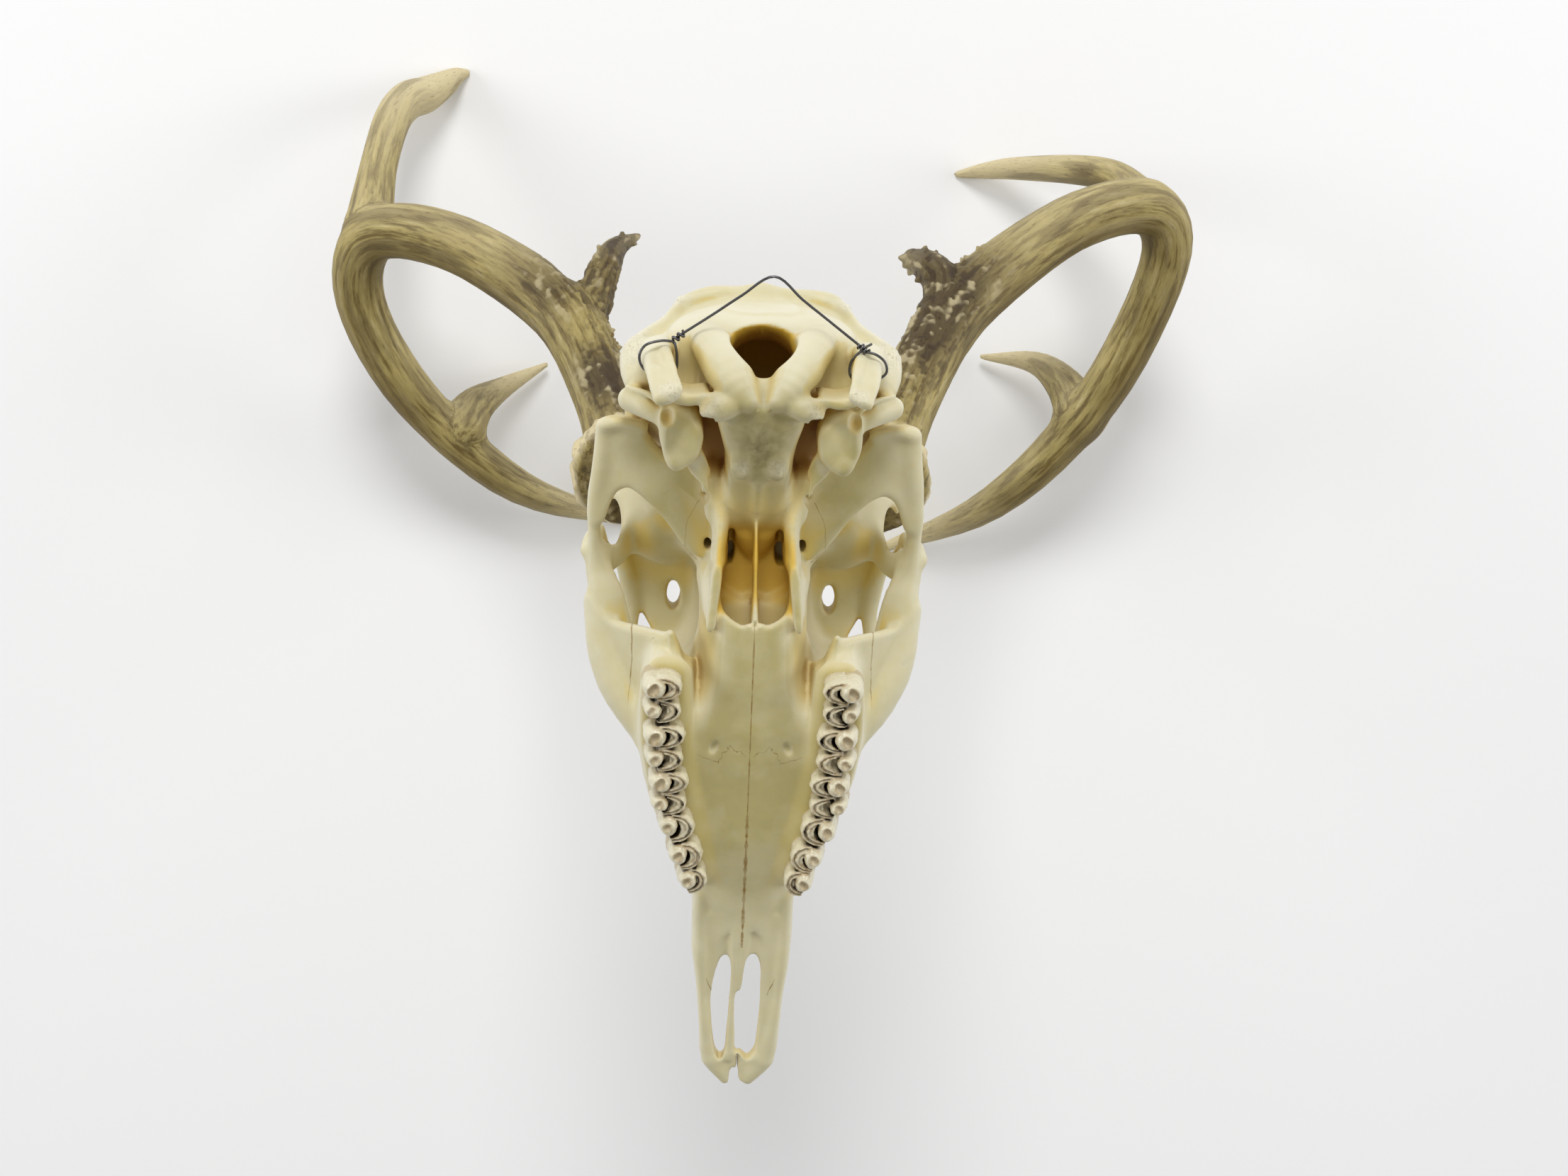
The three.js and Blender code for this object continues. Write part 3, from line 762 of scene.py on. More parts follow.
# %% Capsule, spike and ear tube
skull.add(slab([
    (33.6, 69), (27, 71.5), (21.5, 69.5), (18.2, 62), (19, 55), (23, 50.8), (27.4, 49.2),
    (31.8, 52.4), (33.8, 60),
], -21, 8, (-0.1, -0.12), 4), 1.5)
skull.add(ball((27.6, 53.0, -14.4), (3, 3.6, 3.4)), 2)
skull.add(ball((22.4, 61, -14.8), (3, 5.4, 2.4), (0, 0, 12)), 2)
skull.add(ball((30.4, 61, -15), (1.6, 6, 2.4)), 1.5)
skull.add(limb([
    (22.6, 54, -21, 4, 3.4), (19.6, 48.4, -19.4, 3.4, 2.4), (18, 44.5, -18, 1.5, 1.4),
    (16.9, 40.4, -17, 0.7, 0.7),
]), 1)
skull.add(limb([(20, 55, -18, 1.6), (16.8, 50, -19, 1.2), (16.4, 46.4, -18.6, 0.6)]), 0.8)
skull.add(limb([
    (31, 64, -24, 3.2, 5), (36.5, 66, -28.5, 4.4, 5), (43.4, 67.2, -33.5, 4.4, 4.4),
], (0, 1, 0)), 2)
skull.add(limb([(32.5, 70.5, -19, 1.2), (37.5, 71.5, -26, 1.2), (44, 71.6, -32, 1.3)]), 1)
skull.cut(ball((30.8, 67.6, -13.5), (2.3, 3.0, 5)), 1)
skull.cut(limb([
    (34.6, 57.5, -26, 1.0, 5), (39, 60.2, -30, 1.6, 6), (47, 61.4, -33, 1.8, 6),
], (0, 1, 0)), 0.8)
print("after the ear capsules, ml:", skull.volume())

# %% [markdown]
# ## Jaw-joint plates
# The lower jaw hangs from a broad shallow plate on each side, with a low ridge
# behind it. The plate's deep bay at the front is the rear rim of the big window
# between brain case and cheek arch, so it is a slab with that outline.

# %% Glenoid plate and its ridge
GLENOID = [
    (51.5, 58.6), (45, 58.4), (38.4, 57), (37.2, 52), (31, 45), (24, 44), (12, 40), (11, 22), (18, 9),
    (24, 13.6), (28, 19), (34, 26.5), (39.5, 31.6), (43.8, 34), (47.6, 32), (49.8, 27.5), (52, 20),
    (57, 20), (55.6, 38), (54, 52),
]
skull.add(slab(GLENOID, -41.4, 3.6, (-0.11, 0), 2.6), 3)
skull.cut(ball((39, 44, -33), (9, 10, 6.2), (0, 0, -38)), 4)
skull.add(limb([(39, 56.4, -38.6, 1.6, 1.6), (46, 57.2, -38.4, 1.9, 1.8), (52, 56, -39, 2, 2)]), 2.5)
skull.add(limb([(15.5, 46, -31, 3.6, 3), (15.4, 38, -30, 3.4, 3.4), (14, 30, -29, 3, 4)]), 3)
print("after the jaw-joint plates, ml:", skull.volume())

# %% [markdown]
# ## Cheek arches
# The arch runs from the ear to the cheek, thin and round at the back, and spreads
# into the flat cheekbone below the orbit. A limb follows the bar, a sloping slab
# is the cheekbone, and a second limb is the post that closes the orbit behind.

# %% Arch, cheekbone and post
skull.add(limb([
    (52.4, 55, -42, 3, 3.6), (53.4, 41, -41.5, 3, 3.8), (55.2, 26, -43.5, 2.6, 3.8),
    (55.4, 14, -44.5, 2.5, 4.2), (54.2, 4, -44.5, 3.6, 4.6), (52, -4, -41.5, 6.0, 4.8),
    (50.6, -14, -38.5, 7.6, 5.4), (48.6, -25, -34.5, 8.2, 6.4), (43, -38, -29, 8, 8),
    (35, -51, -24, 6, 9),
]), 2.5)
skull.add(slab([
    (59.5, -4), (57.6, -24), (50, -38), (38, -52), (22, -52), (21, -20), (25, -15.5), (26.6, -9.5),
    (27.8, -6.4), (30, -9.6), (36, -10.6), (42, -11.6), (50, -12),
], -22.5, 2.8, (-0.92, 0), 2, 1), 2)
skull.add(limb([
    (20, 10, -54, 4, 6), (29, 9, -68, 4.5, 5), (37, 8.2, -74, 5, 4), (43.5, 6.4, -69, 6, 3.2),
    (48.4, 3.6, -59, 6.4, 2.8), (54.5, 2.6, -47, 5.8, 2.6),
], (0, 1, 0)), 6)
print("after the cheek arches, ml:", skull.volume())

# %% [markdown]
# ## The side of the face
# A ring of bone rims the orbit, so its stations come from a circle in a loop. The
# upper jaw bulges over the roots of the cheek teeth, and its edge follows the
# tooth row as a slab. Behind the palate the two thin pterygoid plates stand up
# beside the choana, and the pedicles for the antlers grow out of the forehead.

# %% Orbit rim, upper jaw, pterygoid plates and pedicle
rim = []
for angle in np.linspace(-0.13, 1.56, 14) * math.pi + 0.98 * math.pi:
    across, down = math.cos(angle), math.sin(angle)
    station = (51 + 5 * across + 5 * down, -12 + 22 * across, -57 + 21 * down, 3, 2.6)
    if station[2] < -46:
        rim.append(station)
skull.add(limb(rim, parts=2), 3)
skull.add(ball((33, -42, -46), (12, 13, 25), (0, 0, 12)), 6)
skull.add(limb([
    (26.4, -24, -16, 5.6, 8), (28.4, -36, -14, 9, 10), (28.2, -52, -14, 9.6, 11),
    (24.4, -70, -14, 8.4, 10), (18, -89, -12, 5, 8),
]), 6)
skull.add(slab([
    (22, -14), (33, -12.5), (37.4, -22), (37.6, -44), (34.6, -60), (29.6, -73), (25.4, -85), (21.4, -97),
    (14, -99), (11.4, -93), (15.2, -79), (18.6, -62), (20.2, -44), (21, -24),
], -10.4, 9.4, (0, 0.004), 4), 4)
skull.add(limb([(27.6, -7, -10, 0.9, 1.6), (26.4, -13, -11, 1.3, 5), (25.4, -20, -9, 2.2, 6)]), 1.2)
skull.cut(limb([(21.6, -13.5, -8, 2.4, 3.2), (21.6, -14, -22, 3.2, 4.6), (22.4, -12, -32, 3.6, 5)]), 2)
skull.cut(ball((24, -3, -26), (5, 9, 14)), 4)
skull.add(limb([
    (12.8, 34, -31, 3, 5), (12.2, 25, -25, 2.8, 10), (12.6, 16, -21, 2.2, 13),
]), 3.4)
skull.add(slab([
    (10.8, 19), (14.4, 19), (15.2, 6), (16.2, -3), (13.4, -3), (12.4, 6),
], -15.2, 10.6, (0, -0.2), 1.6), 3)
skull.add(limb([
    (30, 8, -72, 14, 13), (38, 11, -86, 14, 13.5), (43, 13.5, -97, 13, 13), (46, 15, -112, 12.5),
]), 6)
print("after the side of the face, ml:", skull.volume())

# %% [markdown]
# ## The incisive bones
# The nose ends in two slender bars, the incisive bones, that curve together at the
# tip. A deer has no upper front teeth, so they stay bare. Each is one long limb
# that gets thinner forward, with a short one for the inward hook at the tip.

# %% Nose bars
skull.add(limb([
    (14.5, -108, -16, 3.6, 9), (14.6, -128, -13, 3.8, 8), (13.8, -146, -11, 2.7, 5.5),
    (12.4, -160, -9.5, 2.6, 4), (9.4, -173, -8.5, 4.2, 3.2), (4.2, -182.5, -8, 2.2, 2),
]), 2)
skull.add(limb([
    (10, -174, -8.5, 3, 3), (3.6, -171, -8, 2.4, 2.6), (1.6, -170, -8, 1.2, 1.6),
], (0, 1, 0)), 1.5)
print("after the nose bars, ml:", skull.volume())

# %% [markdown]
# ## Small openings
# Nerves and vessels pass through the bone in slits and pinholes: beside the ear
# capsule, in the palate and under the orbit. They are cut last and with hardly any
# blend, so that their rims stay crisp. The thin vomer between them is added here,
# because the choana would have cut it away.

# %% Slits, pinholes and vomer
skull.cut(NOSE, 1.5)
skull.cut(limb([(49.4, 18, -49, 3.0, 8.4), (51.6, -3, -106, 3.0, 8.4)]), 2)
skull.add(limb([
    (0, 30, -26, 0.5, 1.2), (0, 20, -22, 0.9, 7), (0, 6, -17, 1.0, 9), (0, -4, -10, 1.3, 9),
]), 0.8)
skull.cut(limb([(28, -18.6, -66, 2.7, 5.2), (29.4, -20.4, -98, 2.7, 5.2)]), 0.6)
skull.cut(slab([
    (15.6, 71), (20.4, 69.4), (17.6, 61), (17.4, 54), (15.6, 48), (13.4, 45), (13.2, 54), (14.8, 64),
], -16, 12, (0, 0), 1), 0.7)
skull.cut(ball((23, -50, -68), (6, 11, 5), (0, 38, 0)), 1)
skull.cut(ball((17.2, 35, -31), (1.5, 3.2, 6), (0, 0, 20)), 0.8)
skull.cut(ball((16.2, 16, -40), (1.6, 2.4, 8)), 0.8)
skull.cut(ball((8.2, 21.5, -30), (1.3, 3.0, 5)), 0.8)
skull.cut(ball((12.4, -44.8, -0.9), (1.4, 2.6, 2.0), (0, 0, 20)), 0.3)
skull.cut(ball((27.5, 81.5, -26), (1.4, 1.2, 4)), 0.6)
print("after the small openings, ml:", skull.volume())

# %% [markdown]
# ## Both sides
# Now the half is mirrored. Only the nose end differs from side to side: a thin
# shelf joins the two bars, and the long slots in it aren't alike. So the slots are
# three outlines cut from the whole skull, and two fine bars stand beside them.

# %% Mirror, nose slots and mesh
skull.add(slab([
    (14.4, -112), (15.4, -128), (14.6, -142), (13, -156), (11.6, -166), (9.4, -173.6), (6.6, -179),
    (3.2, -182.6), (0.8, -183), (0.8, -178.6), (0, -176.8), (0, -112),
], -8.8, 2.2, (0, 0), 1.6), 1.5)
skull = skull.mirrored()
skull.add(limb([(-1.2, -108, -6.5, 2.4, 2), (-2.6, -130, -6.5, 1.8, 1.6), (-3.1, -173, -7, 1.2, 1.5)]), 1)
skull.add(limb([(1.2, -108, -6.5, 2.4, 2), (0.4, -130, -6.5, 1.8, 1.5), (-0.4, -143, -6.8, 1.3, 1.2)]), 1)
SLOTS = [
    [(-5.5, -129.4), (-4.1, -132.4), (-4.0, -145), (-4.3, -159), (-4.7, -170.4), (-6.5, -173.6),
     (-8.7, -170.5), (-10.2, -159.2), (-10.6, -146.5), (-9.5, -138.1), (-7.6, -131)],
    [(5.0, -129.2), (6.7, -133.5), (7.2, -146), (7.4, -158.7), (6.8, -170.2), (3.8, -173.8),
     (1.9, -172.1), (0.4, -170), (-1.3, -170.9), (-1.8, -159), (-1.9, -145.3), (0.7, -144.5),
     (1.7, -132.3), (3.3, -129.6)],
    [(-2.9, -187), (-2.8, -178.6), (-1.5, -176.8), (-0.2, -178.4), (-0.1, -187)],
]
for outline in SLOTS:
    skull.cut(slab(outline, -8, 12, (0, 0), 0.8), 0.7)
skull.values = np.maximum(skull.values, -(skull.axes[2] - PEDICLE_CUT)[None, None, :])
skull_mesh = surface(skull)
print("skull quads:", len(skull_mesh[1]))

# %% [markdown]
# ## Cheek teeth
# A deer's upper molar has two lobes. Each lobe is a tall rounded cusp on the cheek
# side and a double crescent of enamel on the palate side, with a deep pit between
# them that packs with dark stain. The three premolars have one lobe each.
# The crescents are only a millimetre wide, so the teeth get a finer grid.

# %% Tooth rows
TEETH = [
    # y and x of the middle, half length, half width, lobes
    (-23.4, 29.4, 8.4, 6.8, 2), (-41.2, 28.5, 8.4, 7.2, 2), (-58.0, 26.8, 8.0, 7, 2),
    (-71.2, 23.8, 5.6, 6.4, 1), (-81.8, 20.2, 5.3, 5.8, 1), (-91.4, 17.4, 5, 4.8, 1),
]
TOOTH_GRID = 0.36
CROWN_TOP = 8.2


def arc(side, x, y, z, reach, long, width, height):
    """A crescent wall: both horns point to the cheek, its middle to the palate."""
    stations = []
    for angle in np.linspace(-1.0, 1.0, 9) * math.pi * 0.52:
        across, ahead = side * (x - reach * math.cos(angle)), y + long * math.sin(angle)
        stations.append((across, ahead, z, width, height))
    return limb(stations, (0.001, 0.001, 1), parts=1)


def lobe(field, side, x, y, long, wide, share, random):
    """One lobe: column, two lingual crescents, pit and cheek cusp of a given share."""
    shift = random.uniform(-0.3, 0.3, 8)
    top = CROWN_TOP + shift[0]
    field.add(limb([
        (side * x, y, -5, wide * 0.86, long * 0.95),
        (side * (x + 0.3), y, top - 4.6, wide * 0.84, long * 0.92),
    ]), 0.8)
    inner_x, inner_y = x + 1.5 + shift[6], y + shift[1]
    field.add(arc(side, x + 1.2, y, top - 2.8, wide * 0.98, long * 0.88, 2.9, 0.75), 0.4)
    field.add(arc(side, inner_x, inner_y, top - 2.3, wide * 0.76, long * 0.70, 2.7, 1.0), 0.3)
    field.cut(arc(side, x + 2.7, y, top - 1.0, wide * 0.42, long * 0.46, 3.2, 1.25), 0.3)
    field.cut(arc(side, x + 1.5, y, top + 0.5, wide * 0.90, long * 0.80, 1.2, 0.24), 0.2)
    cusp_x = x + wide * (0.62 - 0.16 * share) + shift[2]
    half = 3.8 * share
    y_cusp = y + 0.12 * long
    field.add(limb([
        (side * (cusp_x + 1.0), y, -3, 3.6, long * 0.86),
        (side * (cusp_x + 0.3), y_cusp + shift[7], top - 2.6, half, long * 0.96 * share),
        (side * (cusp_x - 0.3), y_cusp + shift[3], top - 0.3, half * 0.88, long * 0.84 * share),
        (side * (cusp_x - 0.6), y_cusp + shift[3] - 0.3, top + 0.5, half * 0.62, long * 0.6 * share),
    ], (side, shift[4], 0)), 0.4)
    dish = (side * (cusp_x + 0.3 + shift[5]), y_cusp + shift[3], top + 1.9)
    field.cut(ball(dish, (1.3 * share, 2.2 * share, 1.3), (0, 0, side * 30)), 1.1)


def tooth_row(side, seed):
    random = np.random.default_rng(seed)
    low, high = (10, -100, -8), (40, -12, 12)
    if side < 0:
        low, high = (-high[0], low[1], low[2]), (-low[0], high[1], high[2])
    row = Field(low, high, TOOTH_GRID)
    for y, x, long, wide, lobes in TEETH:
        for part in range(lobes):
            offset = 0 if lobes == 1 else (0.5 - part) * long
            share = (1.0, 0.76)[part] if lobes == 2 else 0.8
            lobe(row, side, x, y + offset, long / lobes, wide * (1 - 0.05 * part), share, random)
    return row


tooth_fields = {"left": tooth_row(-1, 5), "right": tooth_row(1, 9)}
tooth_meshes = {}
for name, field in tooth_fields.items():
    tooth_meshes[name] = surface(field, 1)
    print("teeth", name, "quads:", len(tooth_meshes[name][1]))

# %% [markdown]
# ## Antlers
# Each antler is one beam that sweeps out and forward with three tines on it.
# The beam's curve is smooth through a few bends, and its thickness follows a
# short list of radii. Bark is added by moving the vertices: long grooves where
# blood vessels ran, small pearls near the base, and a knobbly ring, the burr.

# %% Antler curves
BEAMS = {
    "left": [(-46, 15, -116), (-58, 33, -152), (-79, 55, -193), (-123, 71.4, -231), (-161, 70, -251),
             (-169.4, 39.5, -259), (-147.4, -5, -262), (-102, -48, -269), (-47, -72.4, -291.3)],
    "right": [(47, 15, -116), (61, 36, -150), (85, 63, -192), (131, 89, -231), (168, 94, -248),
              (178, 68, -253), (156.5, 6, -259), (115, -47, -266), (64.5, -81.3, -288.8)],
}
BEAM_RADII = [15, 12.4, 12.8, 12.1, 11.4, 10.6, 10.2, 7.8, 1.8]
TINES = {
    "left": [
        [(-68, 52, -187, 9), (-61.8, 66.7, -211, 6.8), (-57.9, 72.2, -230, 4.8), (-49, 75.4, -243, 1.4)],
        [(-164.5, 74, -258, 10), (-163.9, 91.9, -282, 8.0), (-160.9, 108.6, -305, 8.0),
         (-156, 115.4, -320, 8.3), (-149.5, 116.8, -330, 8.0), (-142, 120.4, -338, 6.0),
         (-137, 123.4, -344, 3.9), (-131.8, 124.8, -348, 1.5)],
        [(-128, -20, -266, 11), (-123, -14, -281, 8.6), (-112, -9, -294, 5.2), (-93, -1, -307, 1.2)],
    ],
    "right": [
        [(77, 60, -184, 9.5), (76, 70.5, -195, 8), (72, 74.8, -205, 6.9), (65.5, 75.8, -215, 4.6)],
        [(167, 95, -251, 9), (158, 101.2, -275, 7.2), (144, 100, -298, 6.5), (121, 95.4, -321, 5.1),
         (108, 92.1, -330, 3.8), (95.3, 88.4, -337.5, 1.5)],
        [(150, -4, -263, 11), (145, 5, -279, 8.6), (133, 11, -296, 5.2), (110, 9.3, -309.5, 1.2)],
    ],
}
ANTLER_GRID = 0.95
ANTLER_MARGIN = 17               # mm of grid round the curves: the thickest radius and a bit
BURR_RINGS = [(-104.2, 14.5), (-109, 18.5), (-114, 19.8), (-119, 18), (-123, 14)]


def add_in_lengths(field, stations, parts, blend):
    """Add a long limb segment by segment, so that each touches few grid cells."""
    rows = smooth_stations(stations, parts)
    for first, last in zip(rows[:-1], rows[1:]):
        field.add(limb([tuple(first), tuple(last)], parts=1), blend)


def floor_height(points_mm):
    return to_row(points_mm)[:, 2] / MM


def antler_field(side):
    s = -1 if side == "left" else 1
    beam = [(*p, r) for p, r in zip(BEAMS[side], BEAM_RADII)]
    stations = beam + [station for tine in TINES[side] for station in tine]
    places = np.array([station[:3] for station in stations], float)
    low, high = places.min(0) - ANTLER_MARGIN, places.max(0) + ANTLER_MARGIN
    low[0], high[0] = (low[0], -24) if s < 0 else (24, high[0])
    high[2] = -102
    field = Field(low, high, ANTLER_GRID)
    add_in_lengths(field, beam, 6, 0)
    for tine in TINES[side]:
        own = Field(low, high, ANTLER_GRID)
        add_in_lengths(own, tine, 5, 0)
        field.values = smooth_min(field.values, own.values, 5)
    burr = [(s * (45 + 0.9 * i), 14.4 + 0.5 * i, z, r) for i, (z, r) in enumerate(BURR_RINGS)]
    add_in_lengths(field, burr, 3, 2)
    x, y, z = np.ix_(*field.axes)
    field.values = np.maximum(field.values, z - PEDICLE_CUT)
    height = (y + ZERO[1]) * math.sin(REST_TILT) + (z + ZERO[2]) * math.cos(REST_TILT)
    field.values = np.maximum(field.values, -height).astype(np.float32)
    return field


antler_fields = {side: antler_field(side) for side in BEAMS}
antler_meshes = {}
for side, field in antler_fields.items():
    antler_meshes[side] = surface(field, 2)
    print("antler", side, "quads:", len(antler_meshes[side][1]))

# %% [markdown]
# ## The hanging wire
# A steel wire is tied round the two bony processes behind the ears, so that the
# skull can hang from a nail. It is a tube swept along given points: one open
# ring round each process, a few tight turns at each knot, and the straight run.
# A curve object with a bevel would be quicker, but can pinch at sharp turns, so
# the rings of this tube are carried along the line one by one.

# %% Wire
WIRE_RADIUS = 0.45


def swept_tube(points, radius, sides=10):
    """A closed tube along a smooth line, with frames carried along it."""
    line = smooth_stations([(*p, radius) for p in points], 6)[:, :3]
    ahead = np.gradient(line, axis=0)
    ahead /= np.linalg.norm(ahead, axis=1, keepdims=True)
    side = np.cross(ahead[0], (0.3, 0.2, 0.9))
    rings = []
    angles = (np.arange(sides) / sides * 2 * math.pi)[:, None]
    for point, direction in zip(line, ahead):
        side = side - side.dot(direction) * direction
        side /= np.linalg.norm(side)
        other = np.cross(direction, side)
        rings.append(point + radius * (np.cos(angles) * side + np.sin(angles) * other))
    vertices = np.concatenate(rings + [line[:1], line[-1:]])
    faces = []
    for i in range(len(line) - 1):
        for j in range(sides):
            a, b = i * sides + j, i * sides + (j + 1) % sides
            faces += [(a, b, b + sides), (a, b + sides, a + sides)]
    start, end = len(vertices) - 2, len(vertices) - 1
    last = (len(line) - 1) * sides
    for j in range(sides):
        k = (j + 1) % sides
        faces += [(start, k, j), (end, last + j, last + k)]
    return vertices, np.array(faces)


def coil(first, last, radius, turns):
    """Points of a helix wound round the line from first to last."""
    first, last = np.array(first, float), np.array(last, float)
    axis = (last - first) / np.linalg.norm(last - first)
    u = np.cross(axis, (0, 0, 1.0))
    u /= np.linalg.norm(u)
    v = np.cross(axis, u)
    out = []
    for t in np.linspace(0, 1, int(turns * 8) + 1):
        angle = t * turns * 2 * math.pi
        spoke = math.cos(angle) * u + math.sin(angle) * v
        out.append(tuple(first + (last - first) * t + radius * spoke))
    return out


def joined(parts):
    vertices, faces, count = [], [], 0
    for v, f in parts:
        vertices.append(v)
        faces.append(f + count)
        count += len(v)
    return np.concatenate(vertices), np.concatenate(faces)


LEFT_KNOT = (-28.6, 91.2, -24.8)
RIGHT_KNOT = (32.6, 89.8, -23)
APEX = (2.5, 112.4, -25)
KNOT_RADIUS = WIRE_RADIUS * 0.95     # the wire is drawn a little thinner where it is twisted
left_ring = [(-29.6, 90.2, -23.6), (-33.5, 90.6, -22.4), (-38.2, 89.3, -21.6), (-40.2, 86.0, -21.4),
             (-39.6, 82.4, -21.6), (-37.0, 79.9, -22.2), (-32.5, 78.6, -23), (-28.6, 80.6, -23.4),
             (-28.2, 85.5, -23.6), (-29.0, 89.8, -24.2)]
right_ring = [(33.2, 89.2, -22.2), (36.4, 88.6, -21.4), (39.4, 86.2, -21.2), (40, 82.6, -21.4),
              (37, 79.9, -22.2), (32.5, 78.6, -23), (28.6, 80.6, -23.2), (28.4, 85.2, -22.8),
              (30.6, 88.6, -22.4), (32.4, 89.6, -22.6)]
run = [RIGHT_KNOT, (20.6, 98.6, -24.4), (12, 105, -25), APEX, (-8, 105.6, -25.2), (-17.5, 98.8, -25),
       LEFT_KNOT]
left_twist = coil((-29.8, 90.2, -24.0), (-26.0, 92.9, -24.9), 0.95, 2.4)
right_twist = coil((33.6, 89.0, -22.4), (30.8, 91.1, -23.4), 1.0, 2.8)
loose_end = [(32.0, 90.6, -22.4), (33.4, 91.4, -21.4), (34.6, 92.4, -20.4)]
wire_mesh = joined(
    [swept_tube(line, WIRE_RADIUS) for line in (left_ring, right_ring, run)]
    + [swept_tube(line, KNOT_RADIUS) for line in (left_twist, right_twist, loose_end)]
)
print("wire triangles:", len(wire_mesh[1]))

# %% [markdown]
# ## Shader helpers
# Shaders are graphs, and long graphs are easier to read when each node is made by
# one line. The helper makes a node, fills in its inputs and links whatever is
# given as a socket. Effects that several finishes share become node groups.

# %% Node helpers
def feed(tree, socket, value):
    """Give an input what it takes: another node's socket, or a plain value."""
    if isinstance(value, bpy.types.NodeSocket):
        tree.links.new(value, socket)
    else:
        socket.default_value = value


def node(tree, kind, inputs=None, **settings):
    """Add a node; inputs may be values or sockets to link from."""
    made = tree.nodes.new("ShaderNode" + kind)
    for name, value in settings.items():
        setattr(made, name, value)
    for name, value in (inputs or {}).items():
        feed(tree, made.inputs[name], value)
    return made


def maths(tree, operation, *values, clamp=False):
    made = tree.nodes.new("ShaderNodeMath")
    made.operation = operation
    made.use_clamp = clamp
    for socket, value in zip(made.inputs, values):
        feed(tree, socket, value)
    return made.outputs[0]


def vectors(tree, operation, first, second):
    """One step of vector arithmetic on two vectors."""
    return node(tree, "VectorMath", {0: first, 1: second}, operation=operation).outputs[0]


def scaled(tree, vector, by):
    return node(tree, "VectorMath", {0: vector, "Scale": by}, operation="SCALE").outputs[0]


def mixed(tree, factor, first, second):
    """Blend two colours by a factor, each a value or a socket."""
    made = tree.nodes.new("ShaderNodeMix")
    made.data_type = "RGBA"
    made.clamp_factor = True
    feed(tree, made.inputs[0], factor)
    for socket, value in ((made.inputs[6], first), (made.inputs[7], second)):
        feed(tree, socket, (*value, 1) if isinstance(value, tuple) else value)
    return made.outputs[2]


def clouded(tree, vector, scale, detail, roughness=0.5):
    """Blender's own cloudy noise, as a value."""
    inputs = {"Vector": vector, "Scale": scale, "Detail": detail, "Roughness": roughness}
    return node(tree, "TexNoise", inputs).outputs["Fac"]


def ramp(tree, value, low, high):
    """Rise from 0 at low to 1 at high, with soft ends."""
    made = node(tree, "MapRange", {"Value": value, "From Min": low, "From Max": high},
                interpolation_type="SMOOTHSTEP")
    return made.outputs[0]


def attribute(tree, name, output="Fac"):
    return node(tree, "Attribute", attribute_name=name).outputs[output]


def group(name, inputs, outputs):
    """A node group with named sockets: (name, kind, default) each."""
    tree = bpy.data.node_groups.new(name, "ShaderNodeTree")
    for label, kind, default in inputs:
        socket = tree.interface.new_socket(name=label, in_out="INPUT", socket_type="NodeSocket" + kind)
        if default is not None:
            socket.default_value = default
    for label, kind in outputs:
        tree.interface.new_socket(name=label, in_out="OUTPUT", socket_type="NodeSocket" + kind)
    return tree, tree.nodes.new("NodeGroupInput").outputs, tree.nodes.new("NodeGroupOutput").inputs


def placed(tree, name, inputs):
    made = tree.nodes.new("ShaderNodeGroup")
    made.node_tree = bpy.data.node_groups[name]
    for label, value in inputs.items():
        feed(tree, made.inputs[label], value)
    return made


print("materials before the finishes:", [m.name for m in bpy.data.materials])

# %% [markdown]
# ## Shared effects
# Three effects are placed many times. Mottle is a mask of soft clouds, in every
# finish. Seam draws a thin wandering line between two points, once for each suture
# where bones have met. Grain gives bone and enamel the bump of a hard, finely
# pitted skin. As node groups they are built once, and each place sets its own size.

# %% Mottle, seam and grain
tree, given, result = group("mottle", [
    ("Position", "Vector", None), ("Size", "Float", 10.0), ("Seed", "Float", 0.0),
], [("Mask", "Float")])
shifted = vectors(tree, "ADD", given["Position"], (17.0, 31.0, 7.0))
per_mm = maths(tree, "DIVIDE", 1.0, given["Size"])
broad = node(tree, "TexNoise", {"Vector": shifted, "W": given["Seed"], "Scale": per_mm, "Detail": 4.0},
             noise_dimensions="4D").outputs["Fac"]
tree.links.new(ramp(tree, broad, 0.35, 0.65), result["Mask"])

tree, given, result = group("seam", [
    ("Position", "Vector", None), ("Start", "Vector", None), ("End", "Vector", None),
    ("Width", "Float", 0.3), ("Wander", "Float", 1.0), ("Wander Size", "Float", 3.0),
], [("Mask", "Float")])
PLAN_ONLY = (1.0, 1.0, 0.06)     # a seam is placed in plan, and height hardly counts
per_mm = maths(tree, "DIVIDE", 1.0, given["Wander Size"])
jitter = node(tree, "TexNoise", {"Vector": given["Position"], "Scale": per_mm, "Detail": 2.0})
jitter = jitter.outputs["Color"]
jitter = vectors(tree, "SUBTRACT", jitter, (0.5, 0.5, 0.5))
moved = vectors(tree, "ADD", given["Position"], scaled(tree, jitter, given["Wander"]))
from_start = vectors(tree, "SUBTRACT", moved, given["Start"])
from_start = vectors(tree, "MULTIPLY", from_start, PLAN_ONLY)
span = vectors(tree, "SUBTRACT", given["End"], given["Start"])
span = vectors(tree, "MULTIPLY", span, PLAN_ONLY)
along = node(tree, "VectorMath", {0: from_start, 1: span}, operation="DOT_PRODUCT").outputs["Value"]
whole = node(tree, "VectorMath", {0: span, 1: span}, operation="DOT_PRODUCT").outputs["Value"]
share = maths(tree, "DIVIDE", along, whole, clamp=True)
gap = vectors(tree, "SUBTRACT", from_start, scaled(tree, span, share))
distance = node(tree, "VectorMath", {0: gap}, operation="LENGTH").outputs["Value"]
faded = maths(tree, "DIVIDE", distance, given["Width"])
